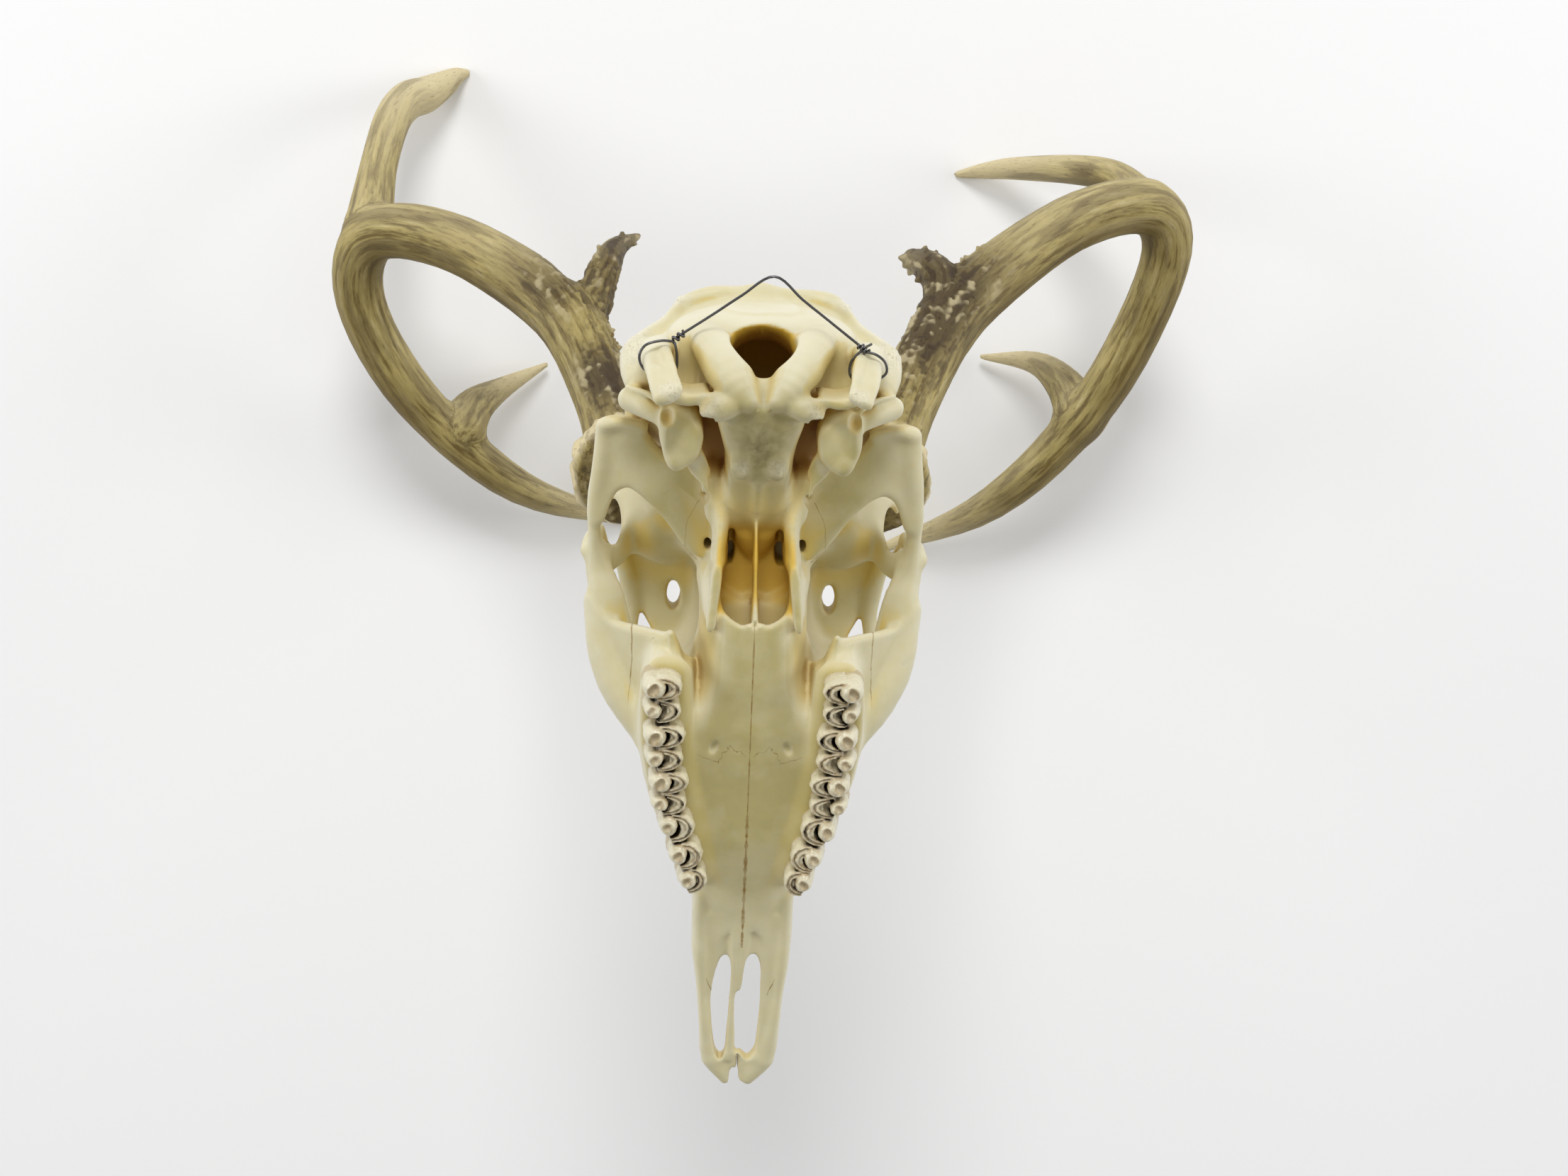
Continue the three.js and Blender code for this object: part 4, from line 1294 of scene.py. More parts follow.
tree.links.new(maths(tree, "SUBTRACT", 1.0, ramp(tree, faded, 0.4, 1.4)), result["Mask"])

tree, given, result = group("grain", [
    ("Position", "Vector", None), ("Pitted", "Float", 0.0), ("Strength", "Float", 0.2),
], [("Normal", "Vector"), ("Pits", "Float")])
fine = clouded(tree, given["Position"], 1.6, 6.0, 0.6)
wave = clouded(tree, given["Position"], 0.22, 3.0)
sponge = clouded(tree, given["Position"], 1.5, 5.0, 0.7)
pits = maths(tree, "MULTIPLY", ramp(tree, sponge, 0.46, 0.36), given["Pitted"])
height = maths(tree, "ADD", maths(tree, "MULTIPLY", fine, 0.10), maths(tree, "MULTIPLY", wave, 0.5))
height = maths(tree, "SUBTRACT", height, maths(tree, "MULTIPLY", pits, 0.9))
bump = node(tree, "Bump", {"Height": height, "Strength": given["Strength"], "Distance": 0.0006})
tree.links.new(bump.outputs["Normal"], result["Normal"])
tree.links.new(pits, result["Pits"])
print("node groups:", [g.name for g in bpy.data.node_groups])

# %% [markdown]
# ## Bone
# Old dry bone is matt and cream. Olive on faces turned to the teeth and darker
# olive-brown on the base are painted shade, as are tan in broad hollows and dark
# brown in deep ones; open edges are painted light, and orange and brown stains and
# seams are the bone's own. The masks come with the mesh, so each tint follows the
# form. An image texture would need an unwrap, and would blur in the very hollows
# that carry the colour.

# %% Bone material
CREAM = (0.73, 0.68, 0.475)
# painted shade: the olive of faces turned to the teeth and the camera
SHADE_OLIVE = (0.47, 0.41, 0.18)
# chalky rough bone, and painted light on open edges
CHALK_AND_EDGE_LIGHT = (0.82, 0.79, 0.66)
# painted shade: the darker olive-brown of the base
BASE_SHADE = (0.21, 0.175, 0.075)
# tan, amber and umber are stains, and also painted shade in hollows and openings
TAN = (0.66, 0.50, 0.135)
AMBER = (0.66, 0.42, 0.045)
UMBER = (0.20, 0.078, 0.008)
SEAM_BROWN = (0.26, 0.155, 0.035)

SEAMS = [
    # start and end (x counts from the middle), half width, wander and its size
    ((0, 1, -1), (0, -70, -1), 0.22, 1.0, 7),
    ((0, -70, -1), (0, -125, -5), 0.46, 1.6, 2.6),
    ((1.4, -47, -1), (7.0, -44, -1), 0.16, 3.4, 1.6),
    ((7.0, -44, -1), (11.0, -50, -1), 0.13, 3.0, 1.6),
    ((11.0, -50, -1), (18.0, -48, -1), 0.10, 2.4, 2.0),
    ((41.4, -10, -26), (41.2, -24, -26), 0.30, 0.9, 5),
    ((41.2, -24, -26), (42.4, -42, -24), 0.24, 0.9, 5),
    ((19.6, 32, -38), (23.6, 24, -39), 0.20, 1.6, 4),
    ((23.6, 24, -39), (24.4, 13, -39), 0.20, 1.8, 4),
    ((25.5, 8, -60), (15.5, 4, -40), 0.26, 2.0, 4),
    ((9.8, -146, -8), (12.2, -139, -9), 0.22, 1.4, 2.4),
    ((12.2, -139, -9), (15.0, -137.4, -10), 0.18, 1.2, 2.4),
]

bone = plain_material("bone", CREAM, 0.58)
tree = bone.node_tree
shader = tree.nodes["Principled BSDF"]
place = attribute(tree, "skull", "Vector")
apart = node(tree, "SeparateXYZ", {"Vector": place})
from_middle = maths(tree, "ABSOLUTE", apart.outputs["X"])
one_side = node(tree, "CombineXYZ", {
    "X": from_middle, "Y": apart.outputs["Y"], "Z": apart.outputs["Z"],
}).outputs[0]
clouds = placed(tree, "mottle", {"Position": place, "Size": 14.0}).outputs[0]
specks = placed(tree, "mottle", {"Position": place, "Size": 3.0, "Seed": 4.0}).outputs[0]
grain = placed(tree, "grain", {"Position": place, "Pitted": attribute(tree, "rough"), "Strength": 0.35})
patchy = maths(tree, "MULTIPLY_ADD", clouds, 0.35, 0.75)
# painted shade: patchy olive on faces turned to the teeth and the camera
colour = mixed(tree, maths(tree, "MULTIPLY", attribute(tree, "olive_shade"), patchy), CREAM, SHADE_OLIVE)
colour = mixed(tree, maths(tree, "MULTIPLY", specks, 0.10), colour, TAN)
# painted light on open edges, and chalk on rough bone
colour = mixed(tree, attribute(tree, "chalk_and_edge_light"), colour, CHALK_AND_EDGE_LIGHT)
speckled = maths(tree, "MULTIPLY_ADD", specks, 0.4, 0.6)
# painted shade: speckled darker olive-brown on the base
colour = mixed(tree, maths(tree, "MULTIPLY", attribute(tree, "base_shade"), speckled), colour, BASE_SHADE)
# tan, amber and umber: stains, and painted shade in hollows and openings
colour = mixed(tree, maths(tree, "MULTIPLY", attribute(tree, "tan"), 0.85), colour, TAN)
colour = mixed(tree, attribute(tree, "amber"), colour, AMBER)
colour = mixed(tree, attribute(tree, "umber"), colour, UMBER)
lines = None
for start, end, width, wander, size in SEAMS:
    mask = placed(tree, "seam", {
        "Position": one_side, "Start": start, "End": end, "Width": width,
        "Wander": wander, "Wander Size": float(size),
    }).outputs[0]
    lines = mask if lines is None else maths(tree, "MAXIMUM", lines, mask)
lines = maths(tree, "MULTIPLY", lines, maths(tree, "MULTIPLY_ADD", specks, 0.5, 0.45))
colour = mixed(tree, lines, colour, SEAM_BROWN)
colour = mixed(tree, maths(tree, "MULTIPLY", grain.outputs["Pits"], 0.45), colour, SEAM_BROWN)
tree.links.new(colour, shader.inputs["Base Color"])
tree.links.new(grain.outputs["Normal"], shader.inputs["Normal"])
tree.links.new(maths(tree, "MULTIPLY_ADD", clouds, 0.16, 0.44), shader.inputs["Roughness"])
shader.inputs["Specular IOR Level"].default_value = 0.32
print("bone:", len(tree.nodes), "nodes, seams:", len(SEAMS))

# %% [markdown]
# ## Enamel
# The crowns are hard and glossy, ivory on their walls. The pits and the gaps
# between teeth go almost black, partly grass stain and partly painted shade, a brown
# line marks the gum, and painted shade browns the hollows of the crown. The pits
# could be darkened by ambient occlusion, but a mask measured on the field stays the
# same in every light.

# %% Tooth material
ENAMEL = (0.74, 0.69, 0.51)
DENTINE = (0.34, 0.22, 0.075)
# almost black: stain in the pits, and painted shade in narrow hollows and between teeth
PIT_STAIN_AND_SHADE = (0.022, 0.014, 0.007)
enamel = plain_material("enamel", ENAMEL, 0.3)
tree = enamel.node_tree
shader = tree.nodes["Principled BSDF"]
place = attribute(tree, "skull", "Vector")
streaks = placed(tree, "mottle", {"Position": place, "Size": 1.4, "Seed": 2.0}).outputs[0]
streaky = maths(tree, "MULTIPLY_ADD", streaks, 0.7, 0.3)
colour = mixed(tree, maths(tree, "MULTIPLY", attribute(tree, "worn"), streaky), ENAMEL, DENTINE)
# brown at the gum line, and painted shade in the hollows
colour = mixed(tree, maths(tree, "MULTIPLY", attribute(tree, "umber"), 0.8), colour, DENTINE)
# pits and gaps between teeth almost black: stain and painted shade
colour = mixed(tree, attribute(tree, "pit"), colour, PIT_STAIN_AND_SHADE)
tree.links.new(colour, shader.inputs["Base Color"])
tree.links.new(maths(tree, "MULTIPLY_ADD", streaks, 0.25, 0.22), shader.inputs["Roughness"])
grain = placed(tree, "grain", {"Position": place, "Pitted": 0.0, "Strength": 0.12})
tree.links.new(grain.outputs["Normal"], shader.inputs["Normal"])
print("enamel:", len(tree.nodes), "nodes")

# %% [markdown]
# ## Antler
# Bark is dark in its grooves and rubbed pale on its ridges. The colour runs from
# deep brown by the burr to straw at the tips. Faces turned away from the key light
# are browned with painted shade, and faces towards it and the burr are paled with
# painted light. The texture coordinate is measured along each beam and round it, so
# that streaks follow every bend.

# %% Antler material
BARK_DARK = (0.050, 0.030, 0.012)
BARK_BROWN = (0.150, 0.102, 0.022)
BARK_STRAW = (0.47, 0.375, 0.135)
BARK_PALE = (0.70, 0.60, 0.36)
horn = plain_material("antler", BARK_STRAW, 0.6)
tree = horn.node_tree
shader = tree.nodes["Principled BSDF"]
bark = attribute(tree, "bark", "Vector")
drawn_out = node(tree, "Mapping", {"Vector": bark, "Scale": (1.0, 1.0, 0.12)}).outputs[0]
short = node(tree, "Mapping", {"Vector": bark, "Scale": (1.0, 1.0, 0.24)}).outputs[0]
streaks = clouded(tree, drawn_out, 0.42, 6.0, 0.62)
hairline = clouded(tree, drawn_out, 1.6, 3.0)
flecks = clouded(tree, short, 0.8, 4.0, 0.6)
clouds = placed(tree, "mottle", {"Position": bark, "Size": 26.0, "Seed": 3.0}).outputs[0]
rubbed = attribute(tree, "ridge")
dark = attribute(tree, "dark")
colour = mixed(tree, ramp(tree, streaks, 0.34, 0.56), BARK_BROWN, BARK_STRAW)
colour = mixed(tree, maths(tree, "MULTIPLY", ramp(tree, streaks, 0.56, 0.72), 0.6), colour, BARK_PALE)
# painted shade: brown on faces turned away from the key light, over a cloudy brown
under = maths(tree, "MULTIPLY_ADD", clouds, 0.30, maths(tree, "MULTIPLY", attribute(tree, "under"), 0.75))
colour = mixed(tree, under, colour, BARK_BROWN)
# polished pale tips, and painted light: the burr painted paler and the faces towards the key light
colour = mixed(tree, attribute(tree, "pale"), colour, BARK_PALE)
colour = mixed(tree, maths(tree, "MULTIPLY", ramp(tree, flecks, 0.60, 0.74), 0.5), colour, BARK_DARK)
colour = mixed(tree, maths(tree, "MULTIPLY", ramp(tree, hairline, 0.42, 0.30), 0.35), colour, BARK_BROWN)
colour = mixed(tree, maths(tree, "MULTIPLY", dark, 0.88), colour, BARK_DARK)
ridge_wear = maths(tree, "MULTIPLY_ADD", dark, 0.46, 0.12)
worn = maths(tree, "MULTIPLY", ramp(tree, rubbed, 0.22, 0.80), ridge_wear)
colour = mixed(tree, worn, colour, BARK_PALE)
groove_dirt = maths(tree, "MULTIPLY_ADD", dark, 0.5, 0.35)
furrow = maths(tree, "MULTIPLY", ramp(tree, rubbed, -0.12, -0.6), groove_dirt)
colour = mixed(tree, furrow, colour, BARK_DARK)
tree.links.new(colour, shader.inputs["Base Color"])
height = maths(tree, "ADD", streaks, maths(tree, "MULTIPLY", hairline, 0.35))
bump = node(tree, "Bump", {"Height": height, "Strength": 0.6, "Distance": 0.0012})
tree.links.new(bump.outputs["Normal"], shader.inputs["Normal"])
tree.links.new(maths(tree, "MULTIPLY_ADD", streaks, 0.3, 0.42), shader.inputs["Roughness"])
shader.inputs["Specular IOR Level"].default_value = 0.35
print("antler:", len(tree.nodes), "nodes")

# %% [markdown]
# ## Steel
# Annealed tie wire is dark grey with a soft shine and a little rust bloom. One flat
# grey would do at this size, but up close the wire would look like plastic.

# %% Wire material
WIRE_GREY = (0.15, 0.15, 0.155)
RUST = (0.075, 0.062, 0.05)
steel = plain_material("wire", WIRE_GREY, 0.34)
tree = steel.node_tree
shader = tree.nodes["Principled BSDF"]
shader.inputs["Metallic"].default_value = 1.0
bloom = placed(tree, "mottle", {"Position": attribute(tree, "skull", "Vector"), "Size": 2.2}).outputs[0]
rusted = mixed(tree, maths(tree, "MULTIPLY", bloom, 0.35), WIRE_GREY, RUST)
tree.links.new(rusted, shader.inputs["Base Color"])
tree.links.new(maths(tree, "MULTIPLY_ADD", bloom, 0.3, 0.22), shader.inputs["Roughness"])
print("materials:", [m.name for m in bpy.data.materials])

# %% [markdown]
# ## Finishing the cranium
# The field is asked how open the space is in front of each vertex: far out in the
# open the distance grows as fast as one walks, in a hollow it grows slower. That
# openness drives the stains and the painted shade in hollows. Then the surface
# itself is moved: a slow wander that breaks the perfect symmetry, and a spongy
# roughness where muscles held.

# %% Helpers for masks, and the cranium's surface
SKULL_TRIANGLES = 196000
SPONGY = [          # centre and radii of the rough patches, x from the middle
    ((16.5, 73, -7), (6, 4.5, 5)), ((6, 51, -12), (5, 5, 5)), ((43, 82, -48), (8, 10, 16)),
    ((29.5, 80.5, 0), (5, 5, 5)), ((52, -24, -33), (3.5, 3.5, 5)), ((30, 93, -68), (12, 3, 6)),
]
LUMPY = [           # the same for the knobbly places: ear capsule and tube, process, crest
    ((26, 60, -15), (9, 12, 9)), ((40, 69, -32), (9, 6, 7)), ((32, 83, -14), (6, 7, 16)),
    ((21, 94, -70), (20, 4, 6)),
]


def openness(field, points, normals, reach):
    """1 in the open, towards 0 in a hollow about as wide as reach."""
    return np.clip(field.sample(points + normals * reach) / reach, -0.2, 1.0)


def fade(value, low, high):
    """Rise softly from 0 at low to 1 at high; low may be the larger."""
    t = np.clip((value - low) / (high - low), 0, 1)
    return t * t * (3 - 2 * t)


def spots(points, patches):
    """The strongest of several soft spots at each point."""
    total = np.zeros(len(points))
    for centre, radii in patches:
        total = np.maximum(total, near(points, centre, radii))
    return total


skull_piece = mesh_object("cranium", *skull_mesh)
thin_out(skull_piece, SKULL_TRIANGLES)
points, normals = skull_points(skull_piece), skull_normals(skull_piece)
close = openness(skull, points, normals, 2.0)
middle = openness(skull, points, normals, 6.0)
wide = openness(skull, points, normals, 14.0)
rough = np.clip(spots(points, SPONGY) * 1.6, 0, 1)

moved = points + normals * (
    0.35 * noise(points, 22, 1) + 0.16 * noise(points, 7, 2)
    + rough * (0.55 * noise(points, 2.6, 3) + 0.3 * noise(points, 1.5, 4))
    + spots(points, LUMPY) * 1.3 * noise(points, 4.6, 6))[:, None]
moved[:, 0] += 0.5 * noise(points, 60, 5)
skull_piece.data.vertices.foreach_set("co", to_row(moved).ravel())
skull_piece.data.update()
print("cranium moved by noise, mm at most:", round(float(np.abs(moved - points).max()), 2))

# %% [markdown]
# ## Where each stain and each painted shade sits
# Faces turned to the teeth, and so to the camera, get painted shade in olive, less
# on the occiput, the nose end and the cheeks, and the base a darker olive-brown
# painted shade. Oil has soaked orange into the palate's rear opening. The foramen,
# the brain's room and the gaps beside the basilar bone are orange stain at first and
# brown painted shade deeper in; the orbit's roof and other hollows get painted shade
# in tan and brown, and open edges painted light. Each mask runs from 0 to 1: a soft
# spot, or a box with faded sides, in the skull's own millimetres.

# %% Stain and painted shade masks of the cranium
FORAMEN_AT = (0, 92, -22)                       # the middle of the foramen magnum
INTO_BRAIN = np.array([0, -0.76, -0.65])        # the direction in which it leads
CONDYLE_SPOT = ((17, 88.5, -34), (10, 8, 15))
FOSSA_SPOT = ((25, 84, -20), (9, 9, 12))
BASE_SPOT = ((0, 58, -11), (16, 30, 9))
KEEL_SPOT = ((0, 30, -16), (9, 14, 6))
EAR_SPOTS = [((37, 58, -32), (9, 5, 6)), ((30.8, 67, -17), (3, 3.6, 5))]

x, y, z = np.abs(points[:, 0]), points[:, 1], points[:, 2]
facing = np.clip(normals[:, 2], 0, 1)
occiput = fade(y, 72, 84)
nose_end, cheek = fade(y, -70, -125), fade(x, 32, 46)
# painted shade: olive on faces turned to the teeth and the camera, less in hollows, on the occiput, the
# nose end and the cheeks
olive_shade = facing ** 1.2 * (1 - 0.5 * occiput) * fade(middle, 0.1, 0.8)
olive_shade = olive_shade * (1 - 0.6 * nose_end) * (1 - 0.5 * cheek)
condyle = near(points, *CONDYLE_SPOT)
fossa = near(points, *FOSSA_SPOT)
# painted shade: darker olive-brown on the basilar bone and keel
base_shade = near(points, *BASE_SPOT) * 1.15 + near(points, *KEEL_SPOT) * 0.6
ear_gap = sum(near(points, *spot) for spot in EAR_SPOTS)

into = points - FORAMEN_AT
depth = into @ INTO_BRAIN
off_axis = np.linalg.norm(into - depth[:, None] * INTO_BRAIN, axis=1)
side_wall = fade(np.abs(normals @ INTO_BRAIN), 0.9, 0.6)
# orange stain on the foramen's wall, and brown painted shade deeper in
foramen = fade(off_axis, 14.5, 13) * fade(depth, 0.5, 9) * side_wall
# the brain's room, seen through the foramen: orange stain and brown painted shade
cavity = fade(np.linalg.norm((points - BRAIN_ROOM[0]) / BRAIN_ROOM[1], axis=1), 1.12, 1.04)
choana = fade(x, 14, 12) * fade(y, 30, 22) * fade(y, -2, 4) * fade(z, -5, -9) * fade(z, -44, -36)
# painted shade: tan on the orbit's roof, a broad hollow facing the teeth
dome = ((x > 16) & (y > -42) & (y < 26) & (z < -30)) * fade(wide, 0.9, 0.2) * facing
from_row = np.abs(x - 28 + np.clip(-y - 45, 0, 60) * 0.22)
sockets = fade(from_row, 9.6, 7.6) * fade(y, -8, -12) * fade(y, -102, -96) * fade(z, -6, -3)
# the slits beside the basilar bone: orange stain, and brown painted shade deeper in
gaps = fade(x, 10, 12) * fade(x, 25, 22) * fade(y, 42, 47) * fade(y, 75, 72) * fade(z, -15, -21)
gaps = gaps * fade(wide, 0.9, 0.4)
# painted shade: amber and, deepest, brown in narrow hollows
pits = fade(close, 0.6, 0.1) * fade(middle, 0.7, 0.2)
# painted light: open edges that don't face the teeth are paler
lit_edges = fade(close, 0.9, 1.0) * fade(wide, 0.9, 1.0) * (1 - facing) * (1 - condyle)
# painted shade: tan in broad hollows
hollows = fade(wide, 0.75, 0.15) * fade(z, -4, -9)
print("share of the bone with patina:", round(float((olive_shade > 0.3).mean()), 2))

# %% [markdown]
# ## Dressing the cranium
# The material knows six tints, and each reads one number from the mesh. Several
# masks may feed one tint, so they are added up, cut off at 1 and stored.

# %% Cranium tints
cranium_tints = {
    "rough": rough * 0.9,
    # painted light on open edges, and chalk on rough bone
    "chalk_and_edge_light": rough * 0.4 + 0.5 * lit_edges,
    # painted shade on upturned faces, and olive on the condyles
    "olive_shade": olive_shade + 0.9 * condyle,
    # painted shade, kept to the base's faces turned to the teeth
    "base_shade": base_shade * facing,
    # tan, amber and umber: stains, and painted shade in hollows and openings
    "tan": (0.75 * dome + 0.28 * sockets + 0.6 * fossa + 0.5 * foramen + 0.9 * choana
            + 0.25 * condyle + 0.6 * hollows),
    "amber": (foramen * fade(depth, 2, 8) * 0.95 + cavity + 0.85 * choana * fade(middle, 1.0, 0.6)
              + 0.85 * gaps + 0.35 * pits + 0.7 * ear_gap),
    "umber": (foramen * fade(depth, 9, 14) * 0.85 + 0.6 * cavity + 0.85 * gaps * fade(z, -22, -29)
              + 0.5 * pits * fade(middle, 0.3, 0.0)),
}
store(skull_piece, "skull", moved)
for tint, amount in cranium_tints.items():
    store(skull_piece, tint, np.clip(amount, 0, 1))
finish_piece(skull_piece, bone, "bone", "braincase", "face", "snout", "incisive_bone_left",
             "incisive_bone_right", "zygomatic_arch_left", "zygomatic_arch_right")

# %% [markdown]
# ## Finishing the teeth
# Teeth wear unevenly, so each row is worn by a fine noise. Its stains and painted
# shade come from the same question of openness, asked close by: the pit between two
# crescents is deep and narrow, the chewing face is a shallow dish, and the gum line
# is a height.

# %% Tooth pieces
TOOTH_TRIANGLES = 90000
for side, field in tooth_fields.items():
    piece = mesh_object("teeth_" + side, *tooth_meshes[side])
    thin_out(piece, TOOTH_TRIANGLES)
    points, normals = skull_points(piece), skull_normals(piece)
    close = openness(field, points, normals, 0.9)
    middle = openness(field, points, normals, 2.6)
    height = points[:, 2]
    below_top = fade(height, CROWN_TOP + 0.4, CROWN_TOP - 0.9)
    # stain and painted shade: narrow hollows below the chewing face, pits and gaps between teeth
    pit = fade(middle, 0.58, 0.12) * fade(close, 0.9, 0.25) * below_top
    top = fade(height, CROWN_TOP - 1.4, CROWN_TOP + 0.2)
    gum_line = fade(height, 2.0, 0.3)
    chips = 0.20 * noise(points, 2.6, 51) + 0.12 * noise(points, 1.1, 52)
    piece.data.vertices.foreach_set("co", to_row(points + normals * chips[:, None]).ravel())
    piece.data.update()
    store(piece, "skull", points)
    store(piece, "pit", np.clip(pit, 0, 1))
    hollow = np.maximum(fade(close, 0.94, 0.70) * 0.7, 0.4 * fade(middle, 0.95, 0.75))
    store(piece, "worn", np.clip(hollow * top, 0, 1))
    # brown gum line, and painted shade in the crown's hollows
    store(piece, "umber", np.clip(gum_line * 0.6 + 0.45 * fade(middle, 0.65, 0.3), 0, 1))
    finish_piece(piece, enamel, "bone")

# %% [markdown]
# ## Finishing the antlers
# Each vertex looks up the nearest place on the nearest curve of its antler. That
# gives how far along it lies and on which side of the beam, which is all that is
# needed to lay grooves along the beam, scatter pearls and knot the burr.

# %% Places along the antlers
TINE_SHARES = (0.22, 0.5, 0.74)      # how far along the beam each tine's bark is like the beam's
BARK_APART = 300                     # mm between the bark patterns of beam and tines


def curve_places(points, stations, parts):
    """Distance to a curve over its radius, length along it, offset from it, whole length."""
    rows = smooth_stations(stations, parts)
    line, radius = rows[:, :3], rows[:, 3]
    steps = np.linalg.norm(np.diff(line, axis=0), axis=1)
    length = np.concatenate([[0], np.cumsum(steps)])
    ahead = np.gradient(line, axis=0)
    ahead /= np.linalg.norm(ahead, axis=1, keepdims=True)
    sides = []
    side = np.cross(ahead[0], (0.2, 0.3, 0.9))
    for direction in ahead:
        side = side - side.dot(direction) * direction
        side /= np.linalg.norm(side)
        sides.append(side)
    sides = np.array(sides)
    others = np.cross(ahead, sides)
    nearest = np.zeros(len(points), int)
    best = np.full(len(points), 1e9)
    for i, place in enumerate(line):
        d = ((points - place) ** 2).sum(1)
        closer = d < best
        best[closer], nearest[closer] = d[closer], i
    gap = points - line[nearest]
    along = length[nearest] + (gap * ahead[nearest]).sum(1)
    offset = np.stack([(gap * sides[nearest]).sum(1), (gap * others[nearest]).sum(1)], 1)
    return np.linalg.norm(gap, axis=1) / radius[nearest], along, offset, length[-1]


def places_on_antler(points, side):
    """Where each vertex lies: along, offset, share of the beam, tip and brow tine."""
    beam = [(*p, r) for p, r in zip(BEAMS[side], BEAM_RADII)]
    best, along, offset, total = curve_places(points, beam, 16)
    share = along / total
    tip = fade(share, 0.80, 1.0)
    brow = np.zeros(len(points))
    for number, tine in enumerate(TINES[side]):
        near_tine, along_tine, offset_tine, length_tine = curve_places(points, tine, 12)
        mine = near_tine < best
        best = np.where(mine, near_tine, best)
        along = np.where(mine, along_tine + BARK_APART * (number + 1), along)
        offset = np.where(mine[:, None], offset_tine, offset)
        tine_share = np.clip(along_tine / length_tine, 0, 1)
        tip = np.where(mine, fade(tine_share, 0.15, 0.85), tip)
        share = np.where(mine, TINE_SHARES[number], share)
        if number == 0:
            brow = np.where(mine, 1 - fade(tine_share, 0.45, 0.85), 0)
    return along, offset, share, tip, brow


print("middle of the left beam, mm along:", round(float(curve_places(
    np.array([BEAMS["left"][4]], float), [(*p, 10) for p in BEAMS["left"]], 16)[1][0]), 1))

# %% [markdown]
# ## Bark
# On the lower beam and the brow tine the bark is coarse, dark and pearled. Further
# out it is drawn into fine long grooves, and the tips are polished smooth. All of
# it is real relief, up to a few millimetres, because it breaks the outline.

# %% Antler pieces
ANTLER_TRIANGLES = 210000
BURR_HEIGHT = -114                   # z of the burr's middle
BURR_RADIUS = 17


def pearl_bumps(points, spacing, size, seed):
    """Rounded bumps scattered about spacing apart: 1 at each bump's middle."""
    cell = points / spacing + 500.5
    base = np.floor(cell)
    best = np.full(len(points), 9.0)
    for dx in (-1, 0, 1):
        for dy in (-1, 0, 1):
            for dz in (-1, 0, 1):
                other = base + (dx, dy, dz)
                jitter = np.stack([noise((other + 0.37) * 3.1, 1.0, seed + k) for k in range(3)], 1)
                centre = other + 0.5 + 0.42 * jitter
                best = np.minimum(best, np.linalg.norm(cell - centre, axis=1))
    return fade(best * spacing, size, size * 0.25)


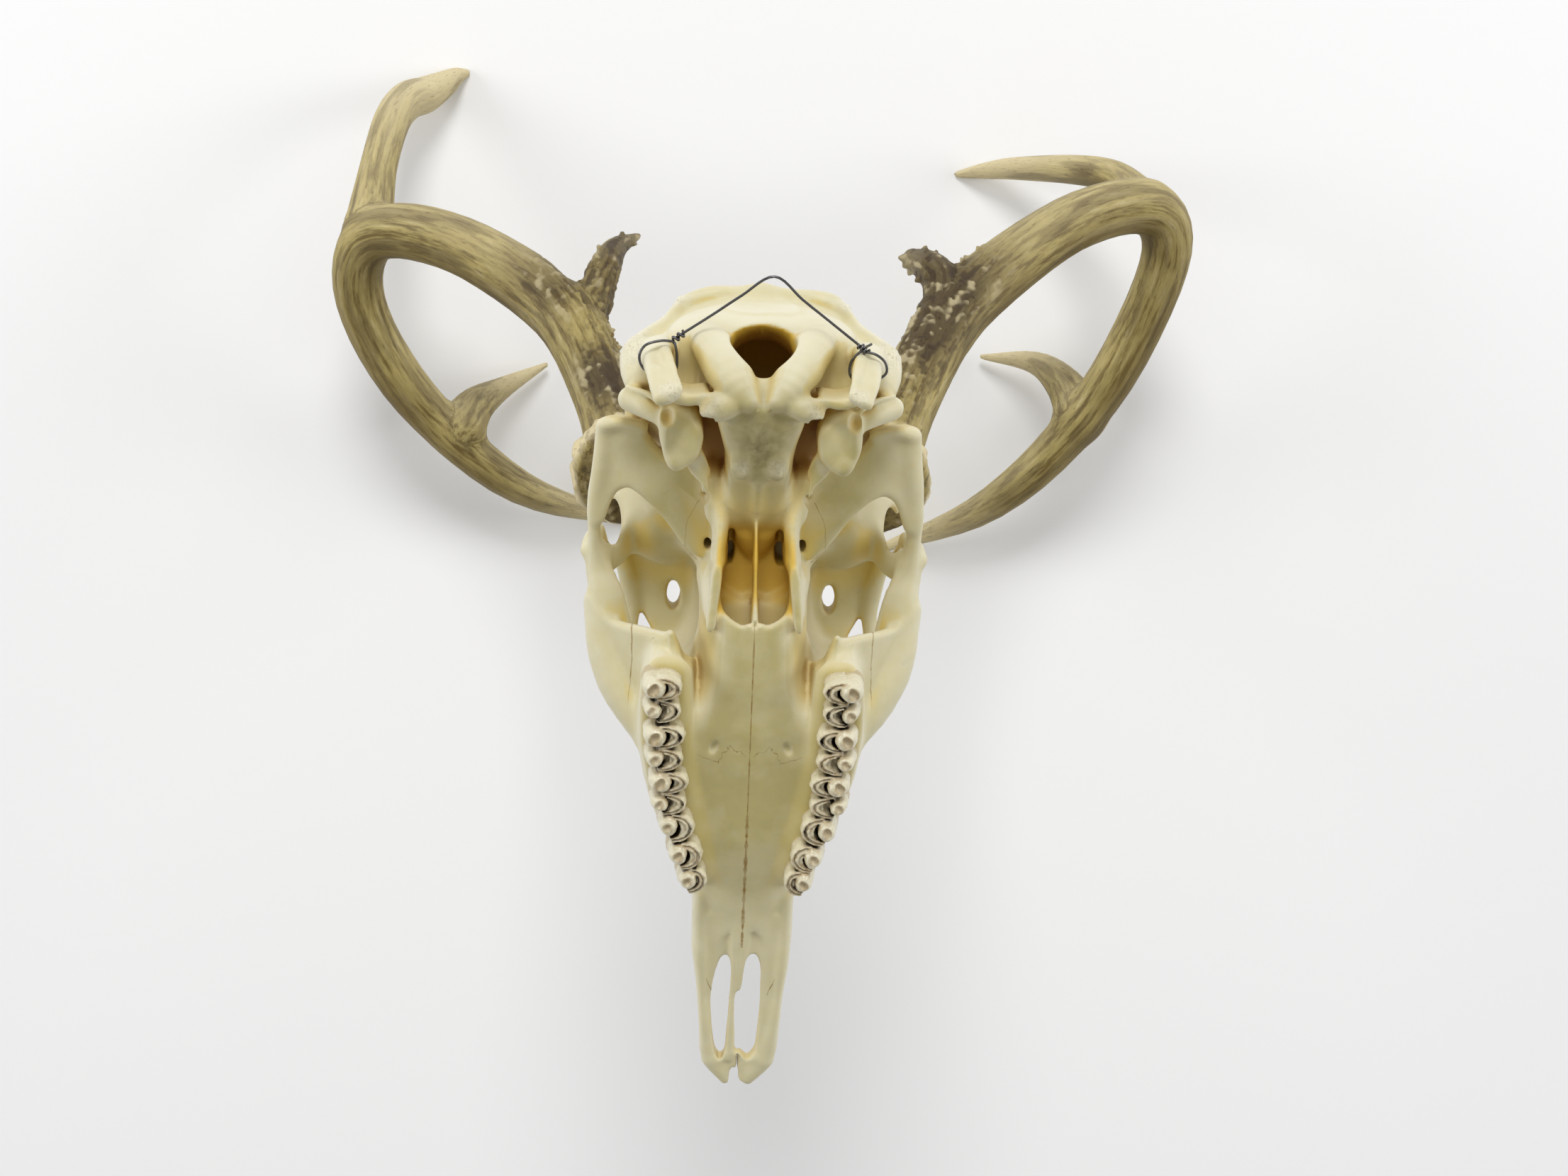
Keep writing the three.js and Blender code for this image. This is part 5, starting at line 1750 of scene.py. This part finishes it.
def finish_antler(side):
    inward = 1 if side == "left" else -1
    piece = mesh_object("antler_" + side, *antler_meshes[side])
    thin_out(piece, ANTLER_TRIANGLES)
    points, normals = skull_points(piece), skull_normals(piece)
    along, offset, share, tip, brow = places_on_antler(points, side)
    bark = np.concatenate([offset, along[:, None]], 1)
    inner = fade(normals[:, 0] * inward * 0.8 + normals[:, 1] * 0.6, -0.75, 0.35)
    low_beam = fade(share, 0.34, 0.20) * (0.18 + 0.85 * inner)
    coarse = np.maximum(low_beam, brow)
    drawn = bark * (1, 1, 0.10)
    ridge = 0.62 * noise(drawn, 3.3, 11) + 0.42 * noise(drawn, 1.8, 12)
    broad = noise(bark * (1, 1, 0.22), 8, 13)
    knots = 0.55 * noise(points * (1, 1, 0.7), 3.4, 14) + 0.5 * noise(points, 1.8, 15)
    ridge = ridge * (1 - 0.3 * coarse) + 0.75 * coarse * knots
    depth = (0.20 + 0.95 * coarse) * (1 - 0.8 * tip)
    pearls = pearl_bumps(points * (1, 1, 0.8), 4.6, 1.7, 21) * fade(noise(points, 12, 22), -0.4, 0.1)
    pearls = pearls * fade(coarse, 0.25, 0.5)
    ring = fade(np.abs(points[:, 2] - BURR_HEIGHT), 9.5, 4)
    from_axis = np.maximum(np.linalg.norm(offset, axis=1, keepdims=True), 1e-6)
    around = offset / from_axis * BURR_RADIUS
    on_ring = np.concatenate([around, along[:, None] * 0.25], 1)
    ribs = ring * (1.6 * noise(on_ring, 3.6, 31) + 0.7 * noise(points, 2.6, 32))
    bark_relief = (ridge * depth + 0.45 * broad * (0.4 + coarse)) * (1 - ring)
    moved = points + normals * (bark_relief + 1.8 * pearls * (1 - ring) + ribs)[:, None]
    height = floor_height(moved)
    moved[:, 2] += np.clip(0.02 - height, 0, 9) / math.cos(REST_TILT)
    moved[:, 2] = np.minimum(moved[:, 2], PEDICLE_CUT)
    piece.data.vertices.foreach_set("co", to_row(moved).ravel())
    piece.data.update()
    store(piece, "skull", points)
    store(piece, "bark", bark)
    store(piece, "ridge", np.clip(ridge + 0.45 * pearls + 0.8 * ribs, -1, 1.4))
    # painted light: faces towards the key light, paler
    lit_side = fade(normals[:, 1], 0.0, 0.9) * (1 - coarse)
    # painted shade: faces turned away from the key light, browner
    store(piece, "under", fade(normals[:, 1], 0.35, -0.7) * (1 - 0.6 * tip))
    # pale polished tips; the burr, painted paler against the skull's shadow, and the lit side are painted
    # light
    store(piece, "pale", np.clip(0.7 * tip * (1 - brow) + 0.9 * ring + 0.3 * lit_side, 0, 1))
    store(piece, "dark", np.clip(coarse * (0.75 + 0.5 * noise(points, 26, 41)) * (1 - 0.8 * ring), 0, 1))
    finish_piece(piece, horn, "antler", *[
        f"antler_{side}_{part}"
        for part in ("lower_beam", "middle_beam", "end_beam", "brow_tine", "second_tine", "third_tine")])


for side in BEAMS:
    finish_antler(side)

# %% [markdown]
# ## Finishing the wire
# The wire's mesh is fine enough as it is, so it only gets its material and its
# place in the skull's millimetres, which the rust is laid out by.

# %% Wire piece
wire_piece = mesh_object("tie_wire", *wire_mesh)
store(wire_piece, "skull", skull_points(wire_piece))
finish_piece(wire_piece, steel, "wire", "hanging_wire")
